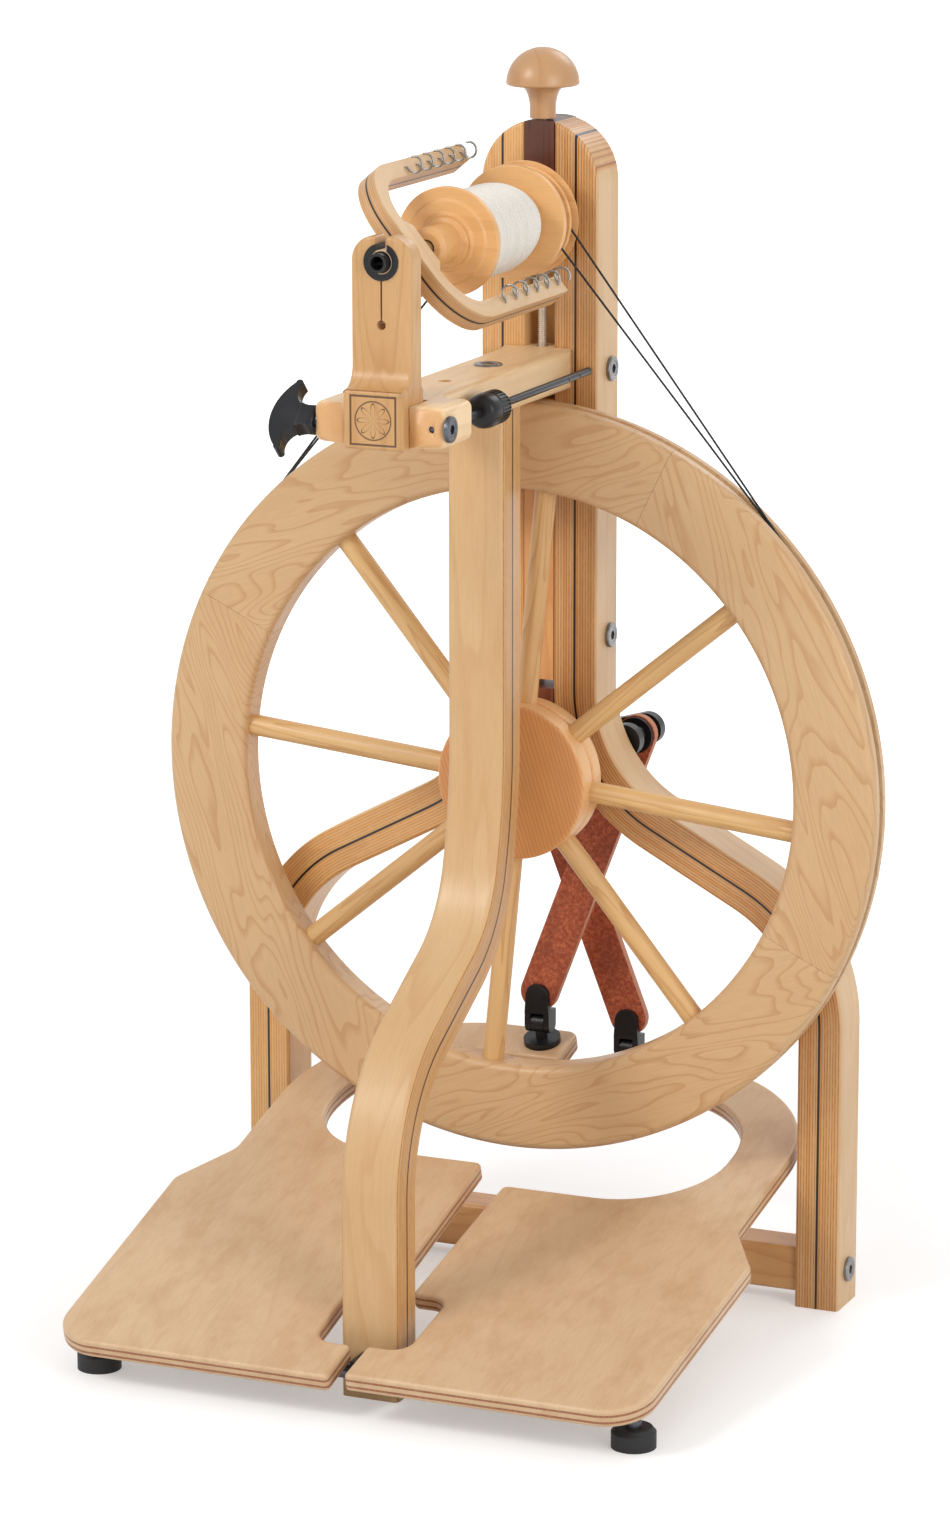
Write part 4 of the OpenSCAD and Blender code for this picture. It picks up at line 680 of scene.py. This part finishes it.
def rear_leg(s, name, node, mat):
    """Upright, bend, slope and foot in one bar on the side s, cut round at its top."""
    a, r, inner, foot, wide, bend_z = 62, 0.1, 0.02525, 0.197, 0.030, 0.4
    over, below = 0.002, 0.04
    ca, sa = cos(rad(a)), sin(rad(a))
    y_axis = (0, 1, 0)
    p1, q1 = inner + r * (1 - ca), bend_z - r * sa
    p2 = foot - r * (1 - ca)
    q2 = q1 - (p2 - p1) / math.tan(rad(a))
    arch_z = UPRIGHT_TOP - SIDE_X
    steps = [(0, 0, -over - below),
             (0, 0, bend_z + below - UPRIGHT_TOP),
             ((s * (inner + r), LEG_Y, bend_z), y_axis, -s * a, 22),
             (s * (p2 - p1), 0, q2 - q1),
             ((s * (p2 - r * ca), LEG_Y, q2 - r * sa), y_axis, s * a, 22),
             (0, 0, r * sa - q2)]
    start = (s * inner, LEG_Y, UPRIGHT_TOP + over)
    o = flat_start(start, (wide, LEG_DEEP))
    draw(steps)
    close_up()
    for k in range(26):
        b = rad(2 + 3 * k)
        out = Vector((s * cos(b), 0, sin(b)))
        mark("faces", lambda f: f.calc_center_median().z > arch_z - 0.002)
        bpy.ops.mesh.bisect(plane_co=Vector((0, LEG_Y, arch_z)) + out * SIDE_X, plane_no=out, use_fill=True,
                            clear_outer=True)
    close_up(2e-5)
    ease(BENT_EDGE, lambda a, b: not (a.z < NEAR and b.z < NEAR) and abs(a.y - b.y) < NEAR)
    done(o, name, mat, "frame", node, 30.0, along_path(path_of(start, steps), y_axis))


rear_leg(-1, "left_leg_bar", "left_rear_leg", "left_leg")
rear_leg(1, "right_leg_bar", "right_rear_leg", "leg")

eased("rear_stretcher", "block", 0.0025, "frame", along_x, pick=lambda a, b: abs(a.x - b.x) > 0.2)
# The slot strip takes the paler maple, painted light against the shade inside the slot.
eased("slot_strip", "slot_back_painted_light", 0, "frame", along_z)
eased("centre_filler", "strip", 0.0005, "frame", along_z, pick=lambda a, b: abs(a.z - b.z) > 0.1)
eased("axle_block", "axle_block", 0, "frame", along_z)
eased("walnut_spline", "walnut", 0, "frame", lambda p: (p.z, p.x * 3, p.y * 3))


def bolt_head():
    """A flat and wide head with a six sided socket."""
    r, high, rim_wide, dish = 0.0081, 0.0026, 0.0017, 0.0003
    socket_r, socket_deep, socket_z = 0.0032, 0.004, 0.0025
    o = rod_start((0, 0, high / 2), r, high, 48)
    ease(0.0009, lambda a, b: a.z > high - NEAR and b.z > high - NEAR, 3)
    mark("faces", lambda f: f.normal.z > 0.99)
    bpy.ops.mesh.inset(thickness=rim_wide)
    bpy.ops.mesh.inset(thickness=dish, depth=-dish)
    begin()
    bpy.ops.mesh.primitive_cylinder_add(vertices=6, radius=socket_r, depth=socket_deep,
                                        location=(0, 0, socket_z))
    cutter = bpy.context.object
    take(o)
    cut = o.modifiers.new("socket", "BOOLEAN")
    cut.operation, cut.object, cut.solver = "DIFFERENCE", cutter, "EXACT"
    bpy.ops.object.modifier_apply(modifier="socket")
    bpy.data.objects.remove(cutter)
    return o


HEAD = bolt_head()


def frame_bolts():
    """Two heads in each upright and one in each foot."""
    places = ((SIDE_X, 0.1235, 0.608), (SIDE_X, 0.1235, 0.433), (0.212, LEG_Y, 0.024))
    out = []
    for s in (-1, 1):
        out += [another(HEAD, (s * x, y, z), (0, s * pi / 2, 0)) for x, y, z in places]
    done(together(out), "frame_bolt_heads", "bolt", "frame", "frame_bolts", 30.0)


frame_bolts()


# drive wheel
def rim():
    """Four segments with a groove for the drive band, each from another part of the board."""
    half, groove, groove_deep, slope = RIM_DEEP / 2, 0.00325, 0.004, 0.001
    first_seam, gap = 64, 0.047
    o = flat_start(((RIM_IN + RIM_OUT) / 2, half, 0), (RIM_OUT - RIM_IN, RIM_DEEP))
    for y in (-groove, -groove + slope, groove - slope, groove):
        bpy.ops.mesh.select_all(action="SELECT")
        bpy.ops.mesh.bisect(plane_co=(0, half + y, 0), plane_no=(0, 1, 0))
    mark("verts", lambda v: v.co.x > RIM_OUT - LEVEL and abs(v.co.y - half) < groove - slope / 2)
    move(-groove_deep, 0, 0)
    bpy.ops.mesh.select_all(action="SELECT")
    bpy.ops.mesh.spin(steps=45, angle=rad(90 - gap), center=(0, 0, 0), axis=(0, 1, 0))
    close_up()

    def outer_edge(a, b):
        return round_y(a, b) and abs(a.y - half) > 0.012 and abs(a.xz.length - b.xz.length) < NEAR
    ease(0.005, outer_edge, 5)
    parts = []
    for k in range(4):
        c = another(o, rot=(0, -rad(first_seam + gap / 2 + 90 * k), 0))
        middle = rad(first_seam + 45 + 90 * k)
        mid = Vector((cos(middle), 0, sin(middle)))
        cross = Vector((-mid.z, 0, mid.x))
        lay(c, lambda p: (p.dot(cross) + 0.9 * k, p.dot(mid) + 0.31 * k, p.y + 0.17 * k))
        parts.append(c)
    bpy.data.objects.remove(o)
    done(set_at(together(parts), ON_AXLE), "rim", "rim", "drive_wheel", "rim_segments", 30.0)


rim()


def spokes():
    r, tenon, first, finer = 0.007, 0.014, -5.5, 3
    inner, outer = HUB_R - tenon, RIM_IN + tenon
    o = rod_start(((inner + outer) / 2, RIM_DEEP / 2, 0), r, outer - inner, 24, (0, pi / 2, 0))
    ease(0.0008, None, 2, 60.0)
    parts = []
    for k in range(8):
        a = rad(first + 45 * k)
        c = another(o, rot=(0, -a, 0))
        d, e = Vector((cos(a), 0, sin(a))), Vector((-sin(a), 0, cos(a)))
        lay(c, lambda p: (p.dot(d) + 1.7 * k, p.dot(e) * finer + 0.33 * k, p.y * finer))
        parts.append(c)
    bpy.data.objects.remove(o)
    done(set_at(together(parts), ON_AXLE), "spoke_rods", "spoke", "drive_wheel", "spokes", 40.0)


spokes()


def hub_disc(name, node, y0, y1, turn, seed):
    bore, edge = 0.0061, 0.003
    o = turned([(bore, y0), (HUB_R, y0), (HUB_R, y1), (bore, y1)], ON_AXLE, "Y", 96, True)
    ease(edge, lambda a, b: Vector((a.x, a.z - AXLE_Z)).length > 0.05 and round_y(a, b), 3)
    c, s = cos(rad(turn)), sin(rad(turn))

    def board(p):
        z = p.z - AXLE_Z
        return (p.x * c + z * s + seed, -p.x * s + z * c, p.y)
    done(o, name, "hub", "drive_wheel", node, 30.0, board)


hub_disc("front_hub_disc", "hub_front_disc", -0.003, 0.01345, 108, 0.4)
hub_disc("rear_hub_disc", "hub_rear_disc", 0.0135, 0.0285, 60, 1.4)


# treadles and straps
def treadle(node, name, slope, body, seed):
    """A board whose layers lie in its own slope, from the hinge line on."""
    hinge_y, hinge_z, under = 0.240, 0.022, 0.007
    ca, sa = cos(rad(slope)), sin(rad(slope))

    def board(p):
        y, z = p.y - WHEEL_Y + hinge_y, p.z - hinge_z
        return (y * ca + z * sa + seed, -y * sa + z * ca - under, p.x)

    def level(a, b):
        return abs(board(a)[1] - board(b)[1]) < NEAR
    eased(node, "ply", 0.0026, body, board, pick=level, count=4, name=name)


treadle("left_treadle", "left_tread_board", 15.3, "treadle_left", 0.0)
treadle("right_treadle", "right_tread_board", 11.1, "treadle_right", 0.8)

for node, body, mid in (("front_pitman", "pitman_front", 0.10936), ("rear_pitman", "pitman_rear", 0.14352)):
    eased(node, "fibre", 0.0009, body, lambda p: (p.x, p.y - WHEEL_Y - mid, p.z))


def fork(node, body, top, x):
    """A block that is rounded, lower and narrower at its top."""
    def on_top(v):
        return v.co.z > top

    def top_corner(a, b):
        return min(a.z, b.z) > top - 0.0045 and abs(a.y - b.y) > 0.002
    eased(node, "plastic", 0.0012, body, None, name=node + "_rounded",
          resize=(on_top, (0.85, 1, 0.8), (x, 0, top - 0.02)), corner=(0.0065, top_corner, 8))


fork("front_fork", "pitman_front", 0.184, -0.0255)
fork("rear_fork", "pitman_rear", 0.163, 0.0255)


# head
def beam_edge(a, b):
    """Level edges at the top and bottom of the beam's sides, without the short ones at its back end."""
    level = abs(a.z - b.z) < LEVEL and not 0.5982 < a.z < 0.6228
    short_at_back = a.y > 0.05 and (a - b).length < 0.005
    return level and min(abs(a.x), abs(b.x)) > 0.0215 and not short_at_back


def maiden_edge(a, b):
    """Outer edges of the base block, the stem and the ring round the orifice."""
    def outer(v):
        return abs(v.x) > (0.0128 if v.z > 0.66 else 0.019) or v.z > FLYER_Z + 0.0128
    return outer(a) and outer(b)


def stamp_border(v):
    half = 0.0135
    return v.co.y < -0.157 and abs(v.co.x) < half and abs(v.co.z - STAMP_Z) < half


# The beam's maple carries painted light from above.
eased("moa_beam", "beam", 0, "moa", along_y, corner=(0.0048, beam_edge, 5, 40.0, False))
eased("front_maiden", "maiden", 0, "maiden", along_z, corner=(0.0022, maiden_edge, 4, 40.0, False),
      resize=(stamp_border, (1.18, 1, 1.18), (0, -0.158, STAMP_Z)))
eased("rear_bearing_block", "block", 0.0015, "moa", along_z,
      pick=lambda a, b: abs(a.x) > 0.0135 and abs(b.x) > 0.0135)
eased("flyer_whorl", "turned", 0.0007, "flyer", along_x)
eased("bobbin_front_flange", "turned", 0.0008, "bobbin", along_x)


def bobbin_boss():
    """The round boss on the front of the bobbin, with a low collar at its flange."""
    front, r, long, bore = -0.1046, 0.0125, 0.030, 0.00515
    bevel, collar, sunk = 0.003, 0.0035, 0.0004
    prof = [(bore, sunk), (bore, -long), (r - bevel, -long), (r, -long + bevel), (r, -0.004),
            (r + collar, -0.0028), (r + collar, sunk)]
    o = turned(prof, (0, WHEEL_Y + front, FLYER_Z), "Y", 72, True)
    ease(0.0007, round_y, 3, 20.0)
    done(o, "bobbin_front_boss", "turned", "bobbin", None, 30.0, along_x)


bobbin_boss()
eased("bobbin_core", "turned", 0, "bobbin", along_y)
eased("bobbin_rear_flange", "turned", 0.0007, "bobbin", along_x)


def t_handle():
    """The crescent is made smaller round its bolt, and the bore keeps its size."""
    y, bore = -0.14385, 0.0055

    def crescent(v):
        return v.co.x < -0.055 and math.hypot(v.co.y - y, v.co.z - BEAM_Z) > bore
    eased("t_handle", "gloss", 0.0026, "tee", None, count=5, smooth=60.0,
          pick=lambda a, b: a.x < -0.0445 and b.x < -0.0445,
          resize=(crescent, (0.89, 0.86, 0.86), (-0.05, y, BEAM_Z)))


t_handle()


def orifice_lining():
    inner, outer, front, long = 0.0066, 0.0074, -0.1452, 0.0145
    prof = [(inner, 0), (outer, 0), (outer, long), (inner, long)]
    o = turned(prof, (0, front, FLYER_Z), "Y", 48, True)
    ease(0.0002, round_y, 2)
    done(o, "orifice_lining", "cream", "maiden", None, 30.0)


orifice_lining()


def knob():
    """Neck, hollow underside, brim and dome of the tension knob."""
    r, n, h, neck, under, bore = 0.0235, 0.0084, 0.045, 0.006, 0.0145, 0.0031
    e = h - r
    prof = [(bore, 0.0), (n - 0.0004, 0.0), (n, 0.0004), (n, neck)]
    for k in range(1, 13):
        a = rad(7 * k)
        prof.append((n + (under - n) * (1 - cos(a)), neck + (e - 0.0015 - neck) * sin(a)))
    prof += [(under + 0.0005, e - 0.0013), (r - 0.0016, e - 0.0007), (r - 0.0005, e - 0.0002),
             (r, e + 0.0006)]
    prof += [(r * cos(rad(a)), e + r * sin(rad(a))) for a in range(4, 88, 4)] + [(0, h)]
    prof += [(0, h * 0.25), (bore, h * 0.25)]
    o = turned(prof, (0, SCREW_Y, UPRIGHT_TOP + 0.0006), "Z", 72, True)
    done(o, "tension_knob_cap", "knob", "tension_screw", "tension_knob", 40.0, along_z)


knob()


def threaded_rod():
    z0, z1, r, pitch, plain_end = 0.592, UPRIGHT_TOP + 0.0113, 0.003, 0.00125, 0.02
    prof = [(0, 0), (r - 0.0005, 0)]
    for k in range(int((z1 - z0 - plain_end) / pitch)):
        prof += [(r, pitch * (k + 0.5)), (r - 0.0006, pitch * (k + 1))]
    prof += [(r, z1 - z0 - 0.018), (r, z1 - z0), (0, z1 - z0)]
    o = turned(prof, (0, SCREW_Y, z0), "Z", 20)
    done(o, "threaded_tension_rod", "zinc", "tension_screw", "tension_rod", 20.0)


threaded_rod()


def brake_knob():
    """A rounded front, a narrow neck line and a grip with every second face sunk."""
    x, y, count, bore, long = 0.036, -0.081, 60, 0.00255, 0.027
    prof = [(bore, 0), (0.0045, 0), (0.0075, 0.0007), (0.0095, 0.0022), (0.0106, 0.005), (0.011, 0.009),
            (0.011, 0.012), (0.0102, 0.0128), (0.0102, 0.0136), (0.0108, 0.0142), (0.0108, 0.0255),
            (0.0095, long), (bore, long)]
    o = turned(prof, (x, y, BEAM_Z), "Y", count, True)

    def grip(f):
        out = Vector((f.normal.x, f.normal.z)).length > 0.95 and f.calc_area() > 5e-6
        number = int(round(math.atan2(f.normal.z, f.normal.x) / (2 * pi / count) - 0.5))
        return y + 0.015 < f.calc_center_median().y < y + 0.025 and out and number % 2 == 0
    mark("faces", grip)
    bpy.ops.mesh.inset(thickness=0.00012, depth=-0.0007, use_individual=True)
    done(o, "brake_hand_knob", "plastic", "brake", "brake_knob", 40.0)


brake_knob()


def ring_bolt():
    """The bright ring in the top of the beam, and the hollow bolt in it."""
    prof = [(0.0045, -0.004), (0.0045, 0.0008), (0.005, 0.0013), (0.0085, 0.0013), (0.009, 0.0008),
            (0.009, 0), (0.0052, 0), (0.0052, -0.004)]
    o = turned(prof, (0, BEAM_BOLT_Y, 0.623), "Z", 48, True)
    done(o, "beam_bolt_ring", "bolt", "moa", None, 30.0)
    o = rod_start((0, BEAM_BOLT_Y, 0.597), 0.0044, 0.046, 32)
    ease(0.0006, None, 2)
    mark("faces", lambda f: f.normal.z > 0.9)
    bpy.ops.mesh.inset(thickness=0.0008)
    draw([(0, 0, -0.004)])
    done(o, "beam_bolt_shank", "black_rod", "moa", "beam_bolt", 30.0)


ring_bolt()


def clamp_head():
    turn = (0, pi / 2, 0)
    head = another(HEAD, (0.0435, CLAMP_Y, BEAM_Z), turn)
    shank = rod_start((-0.007, CLAMP_Y, BEAM_Z), 0.004, 0.101, 24, turn)
    ease(0.0006, None, 2)
    done(together([head, shank]), "clamp_bolt_with_head", "iron", "moa", "clamp_bolt", 30.0)


clamp_head()
bpy.data.objects.remove(HEAD)


# flyer
def flyer_bow():
    """Two arms and a bow in one bent bar, with a thick middle where the orifice tube passes through."""
    r, thick, wide, bend, tip = 0.052, 0.012, 0.015, 0.032, -0.011
    edge, slope, flat, rise = 0.001, 0.005, 0.028, 0.008
    mid = BOW_Y + thick / 2
    straight = tip - mid - bend
    z_axis = (0, 0, 1)
    steps = [(0, -straight, 0), ((bend - r, mid + bend, 0), z_axis, 90, 16)]
    steps += [(x, 0, 0) for x in (edge, slope, flat, slope, edge)]
    steps += [((r - bend, mid + bend, 0), z_axis, 90, 16), (0, straight, 0)]
    o = flat_start((-r, tip, 0), (thick, wide), (pi / 2, 0, 0))
    draw(steps)
    close_up()
    mark("verts", lambda v: abs(v.co.x) < 0.0145 and v.co.y > mid + thick / 2 - NEAR and v.co.y < mid + 0.01)
    move(0, rise, 0)
    ease(0.0012, lambda a, b: abs(a.x) < 0.0195 and abs(b.x) < 0.0195 and abs(a.z - b.z) > 0.012, 3, 30.0)
    ease(0.0028, lambda a, b: abs(a.z - b.z) < NEAR or a.y > tip - NEAR)
    begin()
    by = along_path(path_of((-r, tip, 0), steps), z_axis)
    lay(o, lambda p: tuple(by(p)[k] for k in (0, 2, 1)))
    done(set_at(o, ON_FLYER, FLYER_TURN), "flyer_bow", "bow", "flyer", "flyer_arms", 30.0)


flyer_bow()


def hooks():
    """Six bent wires on each arm."""
    arm, flat, r, out, back, curl = 0.052, -0.0075, 0.00075, 0.00115, 0.0025, 0.005
    small, sunk, first, pitch = 0.0009, 0.006, 0.063, 0.0168
    y_axis = (0, 1, 0)
    o = round_start((arm, 0, flat + sunk), r, 10)
    draw([(0, 0, -sunk - out + small), ((arm - small, 0, flat - out + small), y_axis, 90, 4),
          (small - back, 0, 0), ((arm - back, 0, flat - out - curl), y_axis, -252, 24)])
    close_up()
    parts = []
    for k in range(6):
        y = BOW_Y + first + pitch * k
        parts += [another(o, (0, y, 0)), another(o, (0, y, 0), (0, 0, pi))]
    bpy.data.objects.remove(o)
    wires = set_at(together(parts), ON_FLYER, FLYER_TURN)
    done(wires, "hook_wires", "wire", "flyer", "flyer_hooks", 50.0)


hooks()


# yarn and drive band
def cord_piece(name, pts, r, n, mat, body, node, loop=False, vary=None):
    """A round strand along the points, with its way and turn written as its grain."""
    bm = bmesh.new()
    rings, tags = [], []
    m, s = len(pts), 0.0
    turns = [2 * pi * k / n for k in range(n)]
    for i, p in enumerate(pts):
        after = pts[(i + 1) % m] if loop else pts[min(i + 1, m - 1)]
        before = pts[i - 1] if loop or i else pts[0]
        t = (after - before).normalized()
        side = t.cross(Vector((0, 1, 0))).normalized()
        top = side.cross(t)
        s += (p - pts[i - 1]).length if i else 0.0
        q = r * (vary(i) if vary else 1.0)
        rings.append([bm.verts.new(p + side * q * cos(a) + top * q * sin(a)) for a in turns])
        tags += [(s, a, s) for a in turns]
    for i in range(m if loop else m - 1):
        a, b = rings[i], rings[(i + 1) % m]
        for k in range(n):
            bm.faces.new((a[k], a[(k + 1) % n], b[(k + 1) % n], b[k]))
    if not loop:
        bm.faces.new(rings[0][::-1])
        bm.faces.new(rings[-1])
    bmesh.ops.recalc_face_normals(bm, faces=bm.faces)
    me = bpy.data.meshes.new(name)
    bm.to_mesh(me)
    bm.free()
    o = bpy.data.objects.new(name, me)
    scene.collection.objects.link(o)
    grain = me.attributes.new("grain", "FLOAT_VECTOR", "POINT")
    for i, v in enumerate(tags):
        grain.data[i].vector = v
    done(o, name, mat, body, node, 60.0)


def yarn():
    """A smooth body with one long strand wound over it, fuller at the front than at the back."""
    front, back, turns, strand, n = -0.0966, -0.0016, 74, 0.00122, 40
    core, clear, under, taper, fall = 0.0122, 0.0012, 0.0002, 0.036, 0.008
    full = 0.0285 - strand / 2
    y1, y2 = front + clear, back - clear

    def drop(y):
        return fall * max(0.0, (y - back + taper) / taper) ** 2
    prof = [(core, y1), (full - 0.0006, y1), (full - under, front + 0.003)]
    prof += [(full - under - drop(y), y) for y in [back - taper + 0.0033 * k for k in range(11)]]
    prof += [(full - 0.0006 - drop(y2), y2), (core, y2)]
    o = turned(prof, ON_FLYER, "Y", 72, True)
    done(o, "yarn_under_layers", "wool", "bobbin", "yarn_core", 40.0, lambda p: (p.x, p.z, p.y))
    pitch = (back - front - 2 * clear - strand) / turns
    pts = []
    for i in range(turns * n + 1):
        a = 2 * pi * i / n
        y = y1 + strand / 2 + pitch * i / n
        r = full + 0.00012 * sin(a * 0.37) + 0.0001 * sin(a * 1.71 + 1.0) - drop(y)
        pts.append(Vector((r * cos(a), y + WHEEL_Y, FLYER_Z + r * sin(a))))
    cord_piece("yarn_turns", pts, strand / 2, 6, "wool", "bobbin", "yarn_winding",
               vary=lambda i: 1.0 + 0.10 * sin(i * 0.193) + 0.06 * sin(i * 0.071 + 2))


yarn()


def drive_band():
    """A closed cord that goes twice round the wheel, once over the whorl and once over the bobbin."""
    wheel_r, whorl_r, bobbin_r, cord_r = 0.24475, 0.02325, 0.01325, 0.00075
    long_count, short_count, cross_count = 150, 24, 24

    def lean(r):
        return math.degrees(math.asin((wheel_r - r) / (FLYER_Z - AXLE_Z)))

    def arc(r, z, y, a, b, n):
        turns = [rad(a + (b - a) * i / n) for i in range(n + 1)]
        return [Vector((r * cos(c), y + WHEEL_Y, z + r * sin(c))) for c in turns]
    over_whorl, over_bobbin = lean(whorl_r), lean(bobbin_r)
    runs = [arc(wheel_r, AXLE_Z, 0.0114, -180 - over_whorl, over_whorl, long_count),
            arc(whorl_r, FLYER_Z, 0.0175, over_whorl, 180 - over_whorl, short_count),
            arc(wheel_r, AXLE_Z, 0.0136, -180 - over_whorl, over_bobbin, long_count),
            arc(bobbin_r, FLYER_Z, 0.0069, over_bobbin, 180 - over_bobbin, short_count)]
    pts = []
    for i, p in enumerate(runs):
        q = runs[(i + 1) % len(runs)]
        pts += p + [p[-1].lerp(q[0], k / cross_count) for k in range(1, cross_count)]
    cord_piece("drive_band_cord", pts, cord_r, 8, "cord", "frame", "drive_band", True)


drive_band()

# finishes of the solids that stay as they are
keep = {
    "plastic": ["axle_bearings", "hinge_bracket", "left_hinge_blocks", "right_hinge_blocks", "left_swivel",
                "right_swivel", "crank_pins", "crank_front_arm", "crank_rear_arm", "front_pitman_bush",
                "rear_pitman_bush", "orifice_bush", "orifice_tube"],
    "iron": ["hinge_rod"],
    "black_rod": ["brake_rod"],
    "steel": ["axle", "flyer_shaft", "barrel_nut", "carriage_nuts"],
    "rubber": ["rubber_feet"]
}
for k, names in keep.items():
    for n in names:
        nodes[n].data.materials.clear()
        nodes[n].data.materials.append(FINISHES[k])


# floor, light and camera
def seen(t):
    """One where the camera, a mirror or glass looks at the background."""
    p = put(t, "ShaderNodeLightPath").outputs
    eye = calc(t, "MAXIMUM", p["Is Camera Ray"], p["Is Glossy Ray"])
    return calc(t, "MAXIMUM", eye, p["Is Transmission Ray"])


begin()
bpy.ops.mesh.primitive_plane_add(size=30, location=(0, 0, 0))
floor = bpy.context.object
floor.name = "floor"
fm, ft, fb = finish("white floor")
away = put(ft, "ShaderNodeVectorMath", {0: object_place(ft)}, operation="LENGTH").outputs["Value"]
# The floor glows for the camera and in mirrors, less near the wheel: painted shade round the wheel, beside
# its real shadow; far out it is white.
glow_with_painted_shade_near_wheel = spread(ft, away, 0.6, 2.2, 0.35, 0.9)
feed(ft, fb, Base_Color=(0.8, 0.8, 0.8, 1), Roughness=0.9, Emission_Color=(1, 1, 1, 1),
     Emission_Strength=mul(ft, seen(ft), glow_with_painted_shade_near_wheel), Specular_IOR_Level=0.0)
floor.data.materials.append(fm)

world = bpy.data.worlds.new("studio")
scene.world = world
world.use_nodes = True
wt = world.node_tree
sky = wt.nodes["Background"].inputs
sky[0].default_value = (1, 1, 1, 1)
wt.links.new(spread(wt, seen(wt), 0.0, 1.0, 0.62, 1.0, "LINEAR"), sky[1])


def area(name, loc, at, size, power):
    lamp = bpy.data.lights.new(name, "AREA")
    lamp.shape, lamp.size, lamp.energy = "DISK", size, power
    o = bpy.data.objects.new(name, lamp)
    o.location = loc
    o.rotation_euler = (Vector(at) - Vector(loc)).to_track_quat("-Z", "Y").to_euler()
    scene.collection.objects.link(o)


area("key", (-1.5, -2.4, 2.6), (0, 0, 0.4), 1.2, 44)
area("fill", (2.6, -1.6, 1.4), (0, 0, 0.4), 1.6, 30)
area("back", (0.5, 2.2, 2.4), (0, 0, 0.5), 1.5, 16)

# the camera stands where the fit to the photograph puts it
eye = Vector((1.3198, -3.06326, 1.149))
azimuth, elevation, roll = 0.40732, 0.22966, -0.00122
focal_pixels, photo_pixels, sensor = 5389.02, 1529, 36.0
cam = bpy.data.cameras.new("camera")
cam_o = bpy.data.objects.new("camera", cam)
scene.collection.objects.link(cam_o)
scene.camera = cam_o
fwd = Vector((-sin(azimuth) * cos(elevation), cos(azimuth) * cos(elevation), -sin(elevation)))
level = Vector((cos(azimuth), sin(azimuth), 0))
upright = level.cross(fwd)
right = level * cos(roll) + upright * sin(roll)
up = upright * cos(roll) - level * sin(roll)
cam_o.matrix_world = Matrix(((right.x, up.x, -fwd.x, eye.x), (right.y, up.y, -fwd.y, eye.y),
                             (right.z, up.z, -fwd.z, eye.z), (0, 0, 0, 1)))
cam.sensor_fit = "AUTO"
cam.sensor_width = sensor
cam.lens = focal_pixels / photo_pixels * sensor
cam.clip_end = 100

scene.view_settings.view_transform = "Standard"
